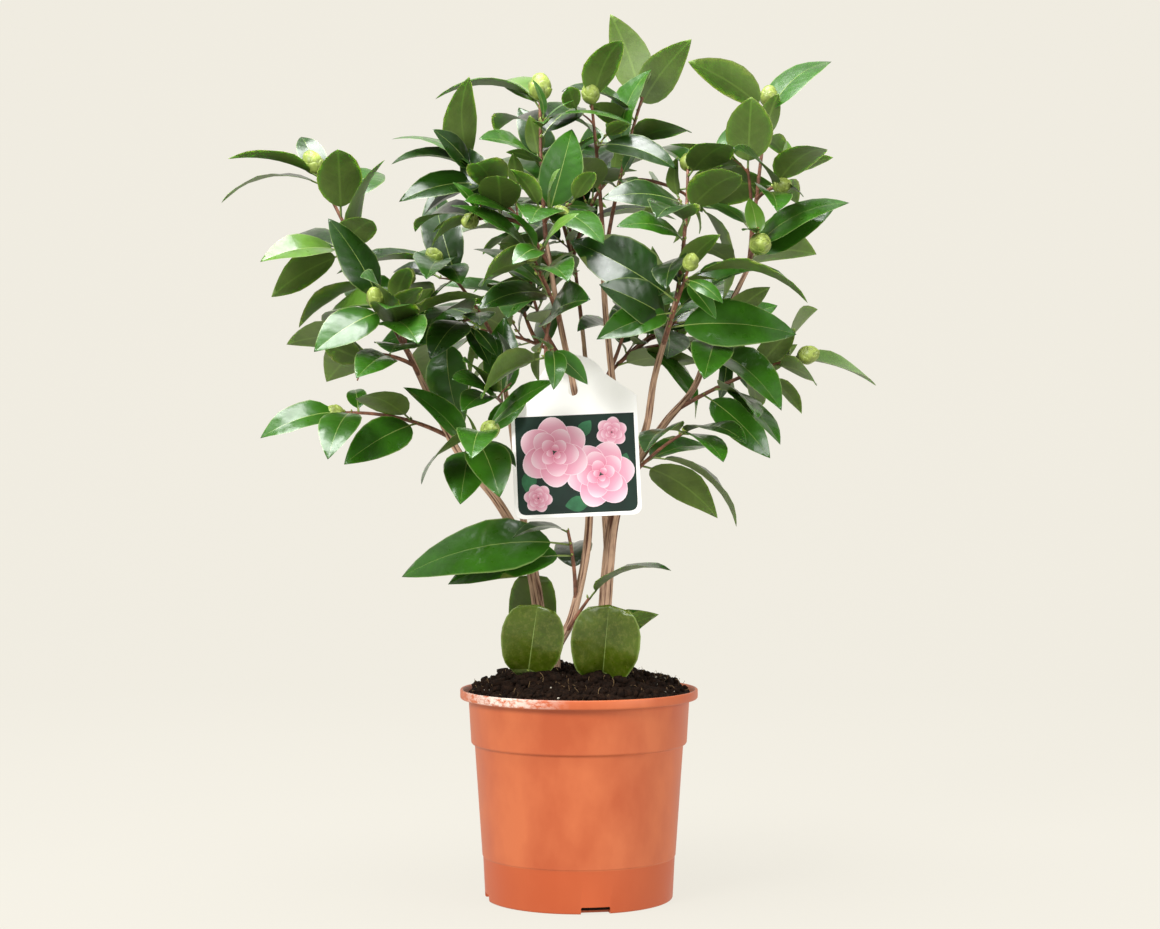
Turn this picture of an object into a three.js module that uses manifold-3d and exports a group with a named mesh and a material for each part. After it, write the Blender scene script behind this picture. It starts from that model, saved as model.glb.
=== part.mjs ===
// A camellia shrub in a round nursery pot. Millimetres, +Z up, +X to the right and -Y to the viewer.
// The origin is the centre of the pot's flat underside.
//
// Three stems stand in the soil and fork into boughs. Masses of foliage grow on them by one rule:
// shoots bend from their root to their tip, and leaves spring from the shoots. A leaf that comes too
// close to something else is tried again a little aside, and is left out when no try is clear.

import * as THREE from "three";
import { mergeVertices } from "three/addons/utils/BufferGeometryUtils.js";
import manifoldModule from "manifold-3d";

const wasm = await manifoldModule();
wasm.setup();
const { Manifold, Mesh: SolidMesh } = wasm;

/** Air between two neighbouring solids. */
const AIR = 0.35;

const POT = {
  rimRadius: 95,
  height: 167,
  lipHeight: 7.4,
  lipRounding: 1.6,
  innerLip: 2,
  baseRadius: 75,
  wall: 2,
  floor: 2.5,
  bevel: 0.8,
  footLine: { z: 34, radius: 76.7, step: 0.6 },
  collar: { z: 123, radiusBelow: 83.4, radiusAbove: 86.2, radiusTop: 88.3 },
  drain: { width: 23, height: 5.5, depth: 9, firstAngle: 10, count: 4 },
  segments: 40,
};

/** The soil's mound has its rings at these shares of its radius. */
const SOIL = { edge: 157, top: 182, rings: [0.9, 0.7, 0.45, 0], fullness: 0.8, segments: 30 };
/** The stems end in a flat cut at this level, a little under the top of the soil. */
const GROUND = 173;

/** The plant label: a card with a domed top that hangs on the middle stem through a slot. */
const LABEL = {
  hole: [-5, -20, 411],
  halfWidth: 50,
  dome: { halfWidth: 25, fullness: 17, foot: 7, top: 22 },
  shoulder: -12,
  bottom: -107,
  corner: 8,
  thickness: 1.2,
  lean: 8,
  turn: 2.5,
  slot: { width: 7.4, length: 21 },
  curveSegments: 6,
};

/** Each limb runs through a few places and tapers from its first radius to its last. */
const LIMBS = {
  stem_left: {
    radii: [5.3, 4.7],
    path: [[-27, 22, 165], [-33, 22, 231], [-40, 18, 273]],
  },
  stem_middle: {
    radii: [4.2, 1.9],
    path: [
      [-17, -8, 165], [-18, -8, 197], [-5, -4, 226], [7, 8, 285],
      [7, 8, 350], [-5, -20, 411], [-16, -34, 464], [-26, -34, 523],
    ],
  },
  stem_right: {
    radii: [5.6, 4.6],
    path: [[19, 22, 165], [21, 20, 231], [27, 12, 297], [36, 6, 334]],
  },
  bough_left: {
    radii: [4.2, 2.1],
    path: [[-40, 18, 273], [-66, 8, 317], [-93, -5, 351], [-113, -15, 388], [-135, -20, 435]],
  },
  bough_inner: {
    radii: [3.2, 1.9],
    path: [[-40, 18, 273], [-46, 26, 307], [-55, 42, 374], [-67, 55, 444]],
  },
  bough_right: {
    radii: [3.6, 1.9],
    path: [[36, 6, 334], [53, -10, 374], [60, -28, 417], [76, -48, 475]],
  },
  bough_far_right: {
    radii: [3.4, 1.9],
    path: [[36, 6, 334], [69, 14, 379], [92, 10, 407], [107, 2, 445], [135, -5, 503]],
  },
  bough_centre: {
    radii: [3.3, 1.9],
    path: [[36, 6, 334], [29, 34, 398], [21, 44, 480], [19, 36, 541]],
  },
  bough_back: {
    radii: [3.2, 1.8],
    path: [[24, 16, 269], [19, 70, 333], [9, 112, 400], [3, 135, 460]],
  },
};
const BARK = { sides: 6, ringSpacing: 22, flare: 0.3, flareHeight: 14 };

/** Shoots are three-sided twigs, thin at their tips. They lead off for this share of their reach. */
const SHOOT = { radii: [1.9, 1.2], sides: 3, rings: 3, lead: 0.5, alongParent: 0.5 };

/** Stations run along a leaf's midrib, as [share of its length, share of its half width]. */
const LEAF = {
  length: 84,
  breadth: 0.48,
  midrib: 1.9,
  midribTaper: 0.75,
  bladeFrom: 0.3,
  stations: [[0, 0.05], [0.12, 0.06], [0.43, 0.98], [0.73, 0.84]],
};

/** Distance that a leaf keeps from everything outside its mass, and its blade from its own mass. */
const LEAF_AIR = { outside: 0.5, inside: 0.3 };

/** How leaves vary. Angles are in degrees, and a pair is a range that the dice draw from. */
const VARIETY = {
  fold: [7, 19],
  breadth: [0.94, 1.1],
  span: [0.8, 1.04],
  arch: { faceOn: 36, flat: 78, jitter: 8, ruled: [28, 66] },
  shares: [0.38, 0.97],
  crowding: 0.8,
  spread: { low: 76, high: 44, jitter: 10 },
  azimuthJitter: 17,
  droop: [0, 0.36],
  roll: [-0.4, 0.4],
};

/** Leaves measured from the front have this length where their tip doesn't show it, and these
 *  further tries for their tip's depth. Leaves by the rule are tried at these turns instead. */
const AIMED = { length: 76, flatAt: 70, depths: [0, -9, 9, -18, 18, -28, 28, -40, 40] };
const TURNS = [0, 0.5, -0.5, 1, -1, 1.6, -1.6, 2.3, -2.3];

/** Each mass, shoot and leaf draws from dice of its own. */
const SEED = { mass: 1000, shoot: 100, ruledLeaf: 50, twig: 90 };
const DICE = {
  range: 2 ** 32,
  factor: 1664525,
  step: 1013904223,
  seedFactor: 7919,
  seedStep: 12345,
  warmUp: 4,
};

/** A flower bud is a pointed oval, as [share of its half width, share of its length]. */
const BUD = { breadth: 0.76, sink: 1.5, sides: 5, profile: [[0, 0], [0.9, 0.22], [0.92, 0.6], [0, 1]] };

/** Twigs by the rule leave their mass's stem at these shares and bend away by this angle. */
const TWIG = { shares: [0.2, 0.6], spread: [38, 58], reach: [0.55, 0.8], lift: 0.25 };

/** The viewer's eye, from which the places seen from the front are told. */
const EYE = { distance: 1900, height: 360 };

// Where the foliage grows. The first shoot of a mass is its stem, and springs from its limb. A later
// one springs from shoot number `from`, at that share of its length. `leaves` is how many leaves the
// seeded rule gives a shoot, `twigs` how many twigs it gives a mass, and `bud` is a bud's length.
// `near` and `far` hold the leaves that reach a place of their own, towards the viewer or away:
// [share of the shoot, x and z of the tip seen from the front, degrees that its upper face turns to
// the viewer, and the leaf's length where it is a small one].
const FOLIAGE = {
  foliage_left_top: {
    on: "bough_left",
    at: 1,
    shoots: [
      {
        tip: [-208, -10, 579], leaves: 2, bud: 21,
        near: [[0.92, -286, 555, 10], [0.74, -193, 598, 20]],
        far: [[0.96, -222, 608, 45, 42], [0.83, -156, 578, 50]],
      },
      {
        from: 0, share: 0.45, tip: [-190, -25, 516], leaves: 1,
        near: [[0.98, -165, 541, -50, 60], [0.92, -255, 508, 45], [0.77, -246, 480, -50]],
        far: [[0.86, -242, 517, 30]],
      },
    ],
  },
  foliage_left_mid: {
    on: "bough_left",
    at: 0.9,
    shoots: [
      {
        tip: [-154, -55, 470], leaves: 2, bud: 20,
        near: [[0.92, -212, 436, 55], [0.86, -175, 496, 60], [0.53, -154, 470, 40, 60],
          [0.7, -128, 442, 40]],
        far: [[0.98, -204, 458, 40]],
      },
      {
        from: 0, share: 0.35, tip: [-138, 0, 492], leaves: 2, bud: 17,
        far: [[0.41, -116, 487, -60, 60], [0.56, -187, 490, 70]],
      },
      {
        from: 0, share: 0.15, tip: [-168, -58, 432],
        near: [[0.5, -178, 415, 70]],
        far: [[0.95, -202, 412, -40], [0.89, -234, 442, -35]],
      },
    ],
  },
  foliage_left_low: {
    on: "bough_left",
    at: 0.62,
    shoots: [
      {
        tip: [-186, -35, 387], bud: 17,
        near: [[0.98, -255, 367, 45], [0.92, -201, 350, 30], [0.32, -188, 346, 60],
          [0.38, -178, 399, -40]],
        far: [[0.86, -179, 406, 30, 34]],
      },
    ],
  },
  foliage_left_inner: {
    on: "bough_left",
    at: 0.45,
    shoots: [
      {
        tip: [-72, -60, 372], leaves: 3, bud: 19,
        near: [[0.95, -126, 330, -30], [0.44, -95, 314, 65], [0.89, -86, 350, 30]],
      },
    ],
  },
  foliage_centre_left: {
    on: "stem_middle",
    at: 0.95,
    shoots: [
      {
        tip: [-86, -35, 579], leaves: 2,
        near: [[0.98, -117, 614, 60, 56], [0.92, -150, 586, 20], [0.8, -144, 556, 45],
          [0.65, -82, 587, -60], [0.4, -92, 556, 40]],
        far: [[0.86, -150, 606, 10]],
      },
      {
        from: 0, share: 0.4, tip: [-80, -62, 536], leaves: 1, bud: 16,
        near: [[0.44, -65, 577, -70]],
        far: [[0.98, -131, 532, 30]],
      },
    ],
  },
  foliage_left_back: {
    on: "bough_inner",
    at: 1,
    shoots: [
      {
        tip: [-113, 20, 510], leaves: 3, bud: 17,
        near: [[0.98, -122, 494, 60], [0.92, -94, 490, 40, 60]],
        far: [[0.86, -123, 514, 20, 60]],
      },
      {
        from: 0, share: 0.3, tip: [-106, 10, 448], leaves: 2,
        near: [[0.47, -119, 430, 40], [0.11, -79, 457, 50, 60]],
        far: [[0.98, -120, 408, 30]],
      },
    ],
  },
  foliage_inner: {
    on: "bough_inner",
    at: 0.72,
    shoots: [
      {
        tip: [-70, -8, 400], leaves: 2,
        near: [[0.86, -102, 414, 60], [0.98, -94, 388, 50, 60], [0.05, -92, 321, 40]],
      },
    ],
  },
  foliage_centre_front: {
    on: "stem_middle",
    at: 0.84,
    shoots: [
      {
        tip: [-35, -75, 505], leaves: 3, bud: 17,
        near: [[0.38, -81, 470, 45], [0.92, -78, 488, -50]],
        far: [[0.47, -62, 498, 30]],
      },
      {
        from: 0, share: 0.2, tip: [-26, -66, 428], leaves: 1,
        near: [[0.98, -78, 398, -45]],
      },
    ],
  },
  foliage_centre_top: {
    on: "stem_middle",
    at: 1,
    shoots: [
      {
        tip: [-31, -10, 637], leaves: 1, bud: 24,
        near: [[0.98, -115, 638, 10], [0.83, 45, 616, 10], [0.65, -77, 563, 35], [0.5, -80, 606, 40]],
        far: [[0.92, -66, 650, 20], [0.77, -67, 611, 10], [0.71, 2, 631, 50], [0.59, -11, 590, -30, 60]],
      },
      {
        from: 0, share: 0.12, tip: [-18, -50, 541], leaves: 1, bud: 20,
        near: [[0.3, -39, 538, 40], [0.6, 20, 522, 35]],
      },
    ],
  },
  foliage_top_mid: {
    on: "bough_centre",
    at: 1,
    shoots: [
      {
        tip: [10, 10, 637], leaves: 3, bud: 19,
        near: [[0.74, -14, 618, 30], [0.65, 78, 582, 40], [0.26, -2, 591, -70]],
      },
    ],
  },
  foliage_top: {
    on: "bough_centre",
    at: 0.8,
    shoots: [
      {
        tip: [52, 50, 647],
        near: [[0.86, -14, 644, 20], [0.79, 8, 633, -40], [0.71, 90, 611, -30]],
        far: [[0.98, 25, 706, -40], [0.92, 90, 686, -50], [0.62, 58, 662, 10]],
      },
      { from: 0, share: 0.5, tip: [100, 60, 560], leaves: 3 },
    ],
  },
  foliage_top_right: {
    on: "bough_right",
    at: 1,
    shoots: [
      {
        tip: [87, 0, 583], leaves: 1, bud: 17,
        near: [[0.92, 123, 601, -30], [0.62, 130, 577, -40], [0.68, 18, 558, 45], [0.53, 62, 542, 20],
          [0.3, 70, 486, -40, 60], [0.42, 30, 536, 50]],
        far: [[0.98, 48, 590, 10]],
      },
    ],
  },
  foliage_front: {
    on: "bough_right",
    at: 0.8,
    shoots: [
      {
        tip: [84, -80, 497], leaves: 1, bud: 16,
        near: [[0.56, -7, 525, 65], [0.32, 16, 490, 70], [0.23, 174, 450, 60], [0.86, 183, 475, 5],
          [0.42, 14, 446, 60]],
        far: [[0.75, 30, 552, 50]],
      },
    ],
  },
  foliage_right_top: {
    on: "bough_far_right",
    at: 1,
    shoots: [
      {
        tip: [133, -25, 580], leaves: 1, breadth: 1.35,
        near: [[0.98, 138, 640, -80, 64]],
        far: [[0.89, 74, 593, 30]],
      },
      {
        from: 0, share: 0.15, tip: [152, 15, 636], leaves: 1, bud: 19,
        near: [[0.95, 87, 668, -45]],
        far: [[0.89, 202, 668, 15]],
      },
      {
        from: 1, share: 0.35, tip: [156, -15, 566], leaves: 1, bud: 17,
        near: [[0.98, 123, 599, 50], [0.92, 198, 598, -25]],
        far: [[0.86, 175, 554, -30, 56]],
      },
      {
        from: 0, share: 0.05, tip: [140, -48, 518], leaves: 1, bud: 22,
        near: [[0.08, 205, 552, 50]],
        far: [[0.14, 190, 514, -50]],
      },
    ],
  },
  foliage_right: {
    on: "bough_far_right",
    at: 0.34,
    shoots: [
      {
        tip: [174, -25, 431], leaves: 2, bud: 19,
        near: [[0.65, 173, 455, -60], [0.8, 190, 409, -50, 56], [0.32, 143, 383, -40],
          [0.23, 153, 351, 50]],
        far: [[0.92, 191, 470, -50]],
      },
    ],
  },
  foliage_right_mid: {
    on: "bough_far_right",
    at: 0.62,
    shoots: [
      {
        tip: [112, -38, 452], leaves: 3,
        near: [[0.71, 100, 414, 60], [0.98, 153, 488, -35]],
      },
    ],
  },
  foliage_low_right: {
    on: "stem_right",
    at: 0.93,
    shoots: [
      {
        tip: [84, -30, 372], leaves: 2,
        near: [[0.5, 126, 296, 5], [0.98, 53, 355, -30], [0.92, 134, 362, 5]],
        far: [[0.35, 111, 303, -40]],
      },
    ],
  },
  foliage_low_left: {
    on: "stem_middle",
    at: 0.31,
    shoots: [
      {
        tip: [-9, -12, 294], leaves: 1, breadth: 0.85,
        near: [[0.8, -142, 256, 45], [0.65, -105, 250, 50], [0.98, -53, 287, 20, 52]],
      },
    ],
  },
  foliage_low_leaf: {
    on: "stem_middle",
    at: 0.2,
    shoots: [{ tip: [8, -16, 240], near: [[0.98, 74, 261, 5]] }],
  },
  foliage_base_right: {
    on: "stem_middle",
    at: 0.09,
    shoots: [
      { tip: [20, -42, 183], breadth: 2.1, near: [[0.97, 24, 234, 80, 56]], far: [[0.6, 64, 226, -40]] },
    ],
  },
  foliage_base_left: {
    on: "stem_middle",
    at: 0.1,
    shoots: [{ tip: [-42, -38, 183], breadth: 2.1, near: [[0.9, -33, 234, 80, 56]] }],
  },
  foliage_base_back: {
    on: "stem_left",
    at: 0.18,
    shoots: [{ tip: [-40, 38, 186], breadth: 1.7, near: [[0.9, -37, 258, -70]] }],
  },
  foliage_back: {
    on: "bough_back",
    at: 1,
    twigs: 3,
    shoots: [{ tip: [-12, 128, 580], leaves: 5, bud: 18 }],
  },
  foliage_back_left: {
    on: "bough_back",
    at: 0.78,
    twigs: 2,
    shoots: [{ tip: [-84, 118, 460], leaves: 5 }],
  },
  foliage_back_right: {
    on: "bough_back",
    at: 0.66,
    twigs: 3,
    shoots: [{ tip: [84, 128, 470], leaves: 5, bud: 18 }],
  },
};

const X = new THREE.Vector3(1, 0, 0);
const Y = new THREE.Vector3(0, 1, 0);
const UP = new THREE.Vector3(0, 0, 1);
const vector = (place) => new THREE.Vector3(...place);
const radians = THREE.MathUtils.degToRad;
const lerp = THREE.MathUtils.lerp;
const GOLDEN_TURN = radians(137.5);
/** Corners closer than this are one corner, and a cut's slivers are smoothed away up to this size. */
const JOIN = 1e-4;
const SLIVER = 0.02;
/** A direction that lies along +X by this much is level, and one that rises by this much is upright. */
const LEVEL = 0.8;
const UPRIGHT = 0.99;

/** Even random numbers that a seed fixes, by a linear congruence. */
class Dice {
  constructor(seed) {
    this.state = (seed * DICE.seedFactor + DICE.seedStep) % DICE.range;
    for (let i = 0; i < DICE.warmUp; i++) this.roll();
  }

  roll() {
    this.state = (this.state * DICE.factor + DICE.step) % DICE.range;
    return this.state / DICE.range;
  }

  /** A number between the two ends. */
  between([low, high]) {
    return low + (high - low) * this.roll();
  }

  /** A number up to the spread either way. */
  either(spread) {
    return this.between([-spread, spread]);
  }
}

/** The part of a vector that stands square to an axis, at length 1. */
function squareTo(axis, direction) {
  return direction.clone().addScaledVector(axis, -axis.dot(direction)).normalize();
}

/** The closed solid of a three.js geometry, with its seams joined. */
function solidOf(geometry) {
  const bare = new THREE.BufferGeometry();
  bare.setAttribute("position", geometry.getAttribute("position"));
  bare.setIndex(geometry.index);
  const joined = mergeVertices(bare, JOIN);
  const corners = [];
  const index = joined.index.array;
  for (let i = 0; i < index.length; i += 3) {
    const [a, b, c] = index.slice(i, i + 3);
    if (a !== b && b !== c && c !== a) corners.push(a, b, c);
  }
  return new Manifold(
    new SolidMesh({
      numProp: 3,
      vertProperties: joined.getAttribute("position").array,
      triVerts: new Uint32Array(corners),
    }),
  );
}

function geometryOf(solid) {
  const mesh = solid.getMesh();
  const geometry = new THREE.BufferGeometry();
  geometry.setAttribute("position", new THREE.BufferAttribute(mesh.vertProperties, 3));
  geometry.setIndex(new THREE.BufferAttribute(mesh.triVerts, 1));
  geometry.computeVertexNormals();
  return geometry;
}

/** The largest body of a solid, with slivers from the cuts smoothed away. */
function mainBody(solid) {
  const bodies = solid.decompose();
  return bodies.reduce((best, body) => (body.volume() > best.volume() ? body : best)).simplify(SLIVER);
}

/** A cylinder carried along a curve. `grow` widens it, and lengthens it at both ends. */
function tubeSolid(curve, radiusAt, sides, rings, grow = 0) {
  const geometry = new THREE.CylinderGeometry(1, 1, 1, sides, rings);
  const position = geometry.getAttribute("position");
  const chord = curve.getPoint(1).sub(curve.getPoint(0)).normalize();
  const reference = Math.abs(chord.x) < LEVEL ? X : Y;
  const stations = Array.from({ length: rings + 1 }, (_, i) => {
    const share = i / rings;
    const along = curve.getTangent(share);
    const across = squareTo(along, reference);
    const end = i === 0 ? -grow : i === rings ? grow : 0;
    return {
      centre: curve.getPoint(share).addScaledVector(along, end),
      across,
      beside: across.clone().cross(along),
      radius: radiusAt(share) + grow,
    };
  });
  for (let i = 0; i < position.count; i++) {
    const station = stations[Math.round((position.getY(i) + 0.5) * rings)];
    const point = station.centre
      .clone()
      .addScaledVector(station.across, position.getX(i) * station.radius)
      .addScaledVector(station.beside, position.getZ(i) * station.radius);
    position.setXYZ(i, point.x, point.y, point.z);
  }
  return solidOf(geometry);
}

/** A limb's curve, with its radius at any share of its length. */
function limbOf({ path, radii }) {
  const curve = new THREE.CatmullRomCurve3(path.map(vector), false, "catmullrom");
  const length = curve.getLength();
  const rooted = path[0][2] < GROUND;
  const flareAt = (share) => (rooted ? BARK.flare * Math.exp((-share * length) / BARK.flareHeight) : 0);
  const radiusAt = (share) => lerp(radii[0], radii[1], share) * (1 + flareAt(share));
  const rings = Math.round(length / BARK.ringSpacing);
  const solid = (grow) => {
    const tube = tubeSolid(curve, radiusAt, BARK.sides, rings, grow);
    return rooted ? tube.trimByPlane([0, 0, 1], GROUND - grow) : tube;
  };
  return { curve, radiusAt, bare: solid(0), grown: solid(AIR) };
}

/** A shoot sets off partly along its parent and partly towards its tip, and bends to the tip. */
function shootCurve(parent, share, tip) {
  const root = parent.getPoint(share);
  const chord = tip.clone().sub(root);
  const reach = chord.length();
  const lead = parent.getTangent(share).multiplyScalar(SHOOT.alongParent);
  lead.add(chord.divideScalar(reach)).normalize();
  return new THREE.QuadraticBezierCurve3(root, root.clone().addScaledVector(lead, reach * SHOOT.lead), tip);
}

/** The directions round a curve at a share of its length: along it, up from it and sideways. */
function framing(curve, share) {
  const along = curve.getTangent(share);
  const upper = squareTo(along, Math.abs(along.z) < UPRIGHT ? UP : X);
  return { along, upper, beside: along.clone().cross(upper) };
}

/** The direction that leans from a curve by the spread, towards this turn round it. */
function leaning({ along, upper, beside }, spread, turn) {
  return along
    .clone()
    .multiplyScalar(Math.cos(spread))
    .addScaledVector(upper, Math.cos(turn) * Math.sin(spread))
    .addScaledVector(beside, Math.sin(turn) * Math.sin(spread));
}

/** The tip of twig number `k` of `count`, which the rule lets spring from a mass's stem. */
function twigTip(stem, share, k, dice) {
  const turn = k * GOLDEN_TURN + dice.between([0, 2 * Math.PI]);
  const heading = leaning(framing(stem, share), radians(dice.between(TWIG.spread)), turn);
  heading.addScaledVector(UP, TWIG.lift).normalize();
  const reach = stem.getPoint(0).distanceTo(stem.getPoint(1)) * dice.between(TWIG.reach);
  return stem.getPoint(share).addScaledVector(heading, reach);
}

function shootSolid(curve) {
  const radiusAt = (share) => lerp(SHOOT.radii[0], SHOOT.radii[1], share);
  return tubeSolid(curve, radiusAt, SHOOT.sides, SHOOT.rings);
}

/** A bud that carries on from the tip of its shoot. */
function budSolid(curve, length) {
  const halfWidth = (BUD.breadth * length) / 2;
  const outline = BUD.profile.map(([width, along]) => new THREE.Vector2(width * halfWidth, along * length));
  const heading = curve.getTangent(1);
  const turn = new THREE.Quaternion().setFromUnitVectors(Y, heading);
  const foot = curve.getPoint(1).addScaledVector(heading, -BUD.sink);
  const geometry = new THREE.LatheGeometry(outline, BUD.sides).applyQuaternion(turn);
  return solidOf(geometry.translate(foot.x, foot.y, foot.z));
}

/** A leaf from its base to its tip: its midrib is an arc, and it is folded a little along it. */
class Leaf {
  constructor(base, tip, face, { arch, fold, breadth }) {
    const chord = tip.clone().sub(base);
    const span = chord.length();
    const aim = chord.divideScalar(span);
    const half = arch / 2;
    this.base = base;
    this.tip = tip;
    this.arch = arch;
    this.fold = fold;
    this.length = (span * half) / Math.sin(half);
    this.halfWidth = (this.length * breadth) / 2;
    this.side = aim.clone().cross(face).normalize();
    const top = this.side.clone().cross(aim);
    this.ahead = aim.clone().multiplyScalar(Math.cos(half)).addScaledVector(top, Math.sin(half));
    this.above = top.clone().multiplyScalar(Math.cos(half)).addScaledVector(aim, -Math.sin(half));
  }

  midrib(share) {
    const turned = this.arch * share;
    return this.base
      .clone()
      .addScaledVector(this.ahead, (this.length * Math.sin(turned)) / this.arch)
      .addScaledVector(this.above, (-this.length * (1 - Math.cos(turned))) / this.arch);
  }

  normal(share) {
    const turned = this.arch * share;
    const upright = this.above.clone().multiplyScalar(Math.cos(turned));
    return upright.addScaledVector(this.ahead, Math.sin(turned));
  }

  /** The leaf's solid, or its blade alone when it starts at a later station. */
  solid(from = 0) {
    const corners = [];
    for (const [share, width] of LEAF.stations.filter(([at]) => at >= from)) {
      const rib = this.midrib(share);
      const normal = this.normal(share);
      const reach = this.halfWidth * width;
      const halfThickness = (LEAF.midrib * lerp(1, LEAF.midribTaper, share)) / 2;
      const edge = (sign) =>
        rib
          .clone()
          .addScaledVector(this.side, sign * reach * Math.cos(this.fold))
          .addScaledVector(normal, reach * Math.sin(this.fold));
      const stalk = share < LEAF.bladeFrom;
      const top = stalk ? edge(-1) : rib.clone().addScaledVector(normal, halfThickness);
      corners.push(edge(-1), top, edge(1), rib.addScaledVector(normal, -halfThickness));
    }
    const tip = corners.length;
    const faces = [0, 3, 2, 0, 2, 1];
    for (let ring = 0; ring < tip; ring += 4) {
      for (let side = 0; side < 4; side++) {
        const a = ring + side;
        const b = ring + ((side + 1) % 4);
        if (ring + 4 < tip) faces.push(a, b, b + 4, a, b + 4, a + 4);
        else faces.push(a, b, tip);
      }
    }
    const geometry = new THREE.BufferGeometry().setFromPoints([...corners, this.tip]);
    return solidOf(geometry.setIndex(faces));
  }
}

/** A leaf's shape, drawn from its dice. */
function leafShape(arch, breadth, dice) {
  return {
    arch: radians(arch),
    fold: radians(dice.between(VARIETY.fold)),
    breadth: LEAF.breadth * breadth * dice.between(VARIETY.breadth),
  };
}

/** The place at a depth that the viewer's eye sees over `x` and `z` at the pot's axis. */
function seenAt(x, z, depth) {
  const scale = 1 + depth / EYE.distance;
  return new THREE.Vector3(x * scale, depth, EYE.height + (z - EYE.height) * scale);
}

/** The ways in which a leaf measured from the front may grow. Its length tells its tip's depth,
 *  towards the viewer or away by the sign, and the depth is then tried nearer and farther. */
function* aimedTries(curve, [share, x, z, turn, length = AIMED.length], sign, dice, breadth) {
  const base = curve.getPoint(share);
  const across = seenAt(x, z, base.y).distanceTo(base);
  const depth = base.y + sign * Math.sqrt(Math.max(0, length ** 2 - across ** 2));
  const face = new THREE.Vector3(0, -Math.sin(radians(turn)), Math.cos(radians(turn)));
  const { faceOn, flat, jitter } = VARIETY.arch;
  const flatness = 1 - Math.min(1, Math.abs(turn) / AIMED.flatAt);
  const shape = leafShape(lerp(faceOn, flat, flatness) + dice.either(jitter), breadth, dice);
  for (const aside of AIMED.depths) yield new Leaf(base, seenAt(x, z, depth + aside), face, shape);
}

/** The ways in which leaf number `k` of a shoot may grow by the rule, round the shoot and out of it. */
function* ruledTries(curve, k, count, start, dice, breadth) {
  const share = lerp(...VARIETY.shares, (k / Math.max(1, count - 1)) ** VARIETY.crowding);
  const frame = framing(curve, share);
  const { low, high, jitter } = VARIETY.spread;
  const spread = radians(lerp(low, high, share) + dice.either(jitter));
  const turn = start + k * GOLDEN_TURN + radians(dice.either(VARIETY.azimuthJitter));
  const droop = dice.between(VARIETY.droop);
  const span = LEAF.length * dice.between(VARIETY.span);
  const roll = dice.between(VARIETY.roll);
  const shape = leafShape(dice.between(VARIETY.arch.ruled), breadth, dice);
  const base = curve.getPoint(share);
  for (const aside of TURNS) {
    const aim = leaning(frame, spread, turn + aside).addScaledVector(UP, -droop).normalize();
    const face = frame.along.clone().add(UP).addScaledVector(aim.clone().cross(UP), roll);
    yield new Leaf(base, aim.multiplyScalar(span).add(base), face, shape);
  }
}

/** Solids that stand already, each with its owner and its kind: body, leaf, or the leaf's blade. */
class Neighbours {
  constructor() {
    this.placed = [];
  }

  add(owner, kind, solid) {
    this.placed.push({ owner, kind, solid, box: solid.boundingBox() });
  }

  /** Whether a solid keeps this much air to each neighbour that the filter lets through. */
  clear(solid, air, applies) {
    const box = solid.boundingBox();
    const apart = ({ box: other }) =>
      [0, 1, 2].some((i) => other.min[i] > box.max[i] + air || box.min[i] > other.max[i] + air);
    return this.placed
      .filter((other) => applies(other) && !apart(other))
      .every((other) => solid.minGap(other.solid, air) >= air);
  }
}

/** Grows the first leaf of the tries that keeps clear, whole of what is outside its mass and with
 *  its blade of the rest of its own mass. */
function growLeaf(tries, mass, neighbours) {
  for (const leaf of tries) {
    const whole = leaf.solid();
    const blade = leaf.solid(LEAF.bladeFrom);
    const foreign = ({ owner, kind }) => owner !== mass.name && kind !== "blade";
    const own = ({ owner, kind }) => owner === mass.name && kind !== "leaf";
    if (!neighbours.clear(whole, LEAF_AIR.outside, foreign)) continue;
    if (!neighbours.clear(blade, LEAF_AIR.inside, own)) continue;
    mass.solids.push(whole);
    neighbours.add(mass.name, "leaf", whole);
    neighbours.add(mass.name, "blade", blade);
    return;
  }
}

function potSolid() {
  const { rimRadius, height, lipHeight, lipRounding, baseRadius, wall, floor, bevel } = POT;
  const { innerLip, footLine, collar, drain } = POT;
  const lipFoot = height - lipHeight;
  const outline = [
    [0, 0],
    [baseRadius, 0],
    [footLine.radius, footLine.z],
    [footLine.radius + footLine.step, footLine.z + footLine.step],
    [collar.radiusBelow, collar.z],
    [collar.radiusAbove, collar.z + bevel],
    [collar.radiusTop, lipFoot],
    [rimRadius - lipRounding, lipFoot],
    [rimRadius, lipFoot + lipRounding],
    [rimRadius, height - lipRounding],
    [rimRadius - lipRounding, height],
    [collar.radiusTop - wall + bevel, height],
    [collar.radiusTop - wall, height - innerLip],
    [collar.radiusAbove - wall, collar.z + bevel],
    [collar.radiusBelow - wall, collar.z - wall],
    [baseRadius - wall, floor],
    [0, floor],
  ];
  const body = solidOf(turned(outline, POT.segments));
  const notches = Array.from({ length: drain.count }, (_, i) => {
    const notch = new THREE.BoxGeometry(drain.width, 2 * drain.depth, 2 * drain.height);
    notch.translate(0, -baseRadius, 0);
    return solidOf(notch.rotateZ(radians(drain.firstAngle + (i * 360) / drain.count)));
  });
  return body.subtract(Manifold.union(notches));
}

/** A solid of revolution round the pot's axis, from [radius, height] places, bottom to top outside. */
function turned(outline, segments) {
  const points = outline.map(([radius, z]) => new THREE.Vector2(radius, z));
  return new THREE.LatheGeometry(points, segments).rotateX(Math.PI / 2);
}

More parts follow.
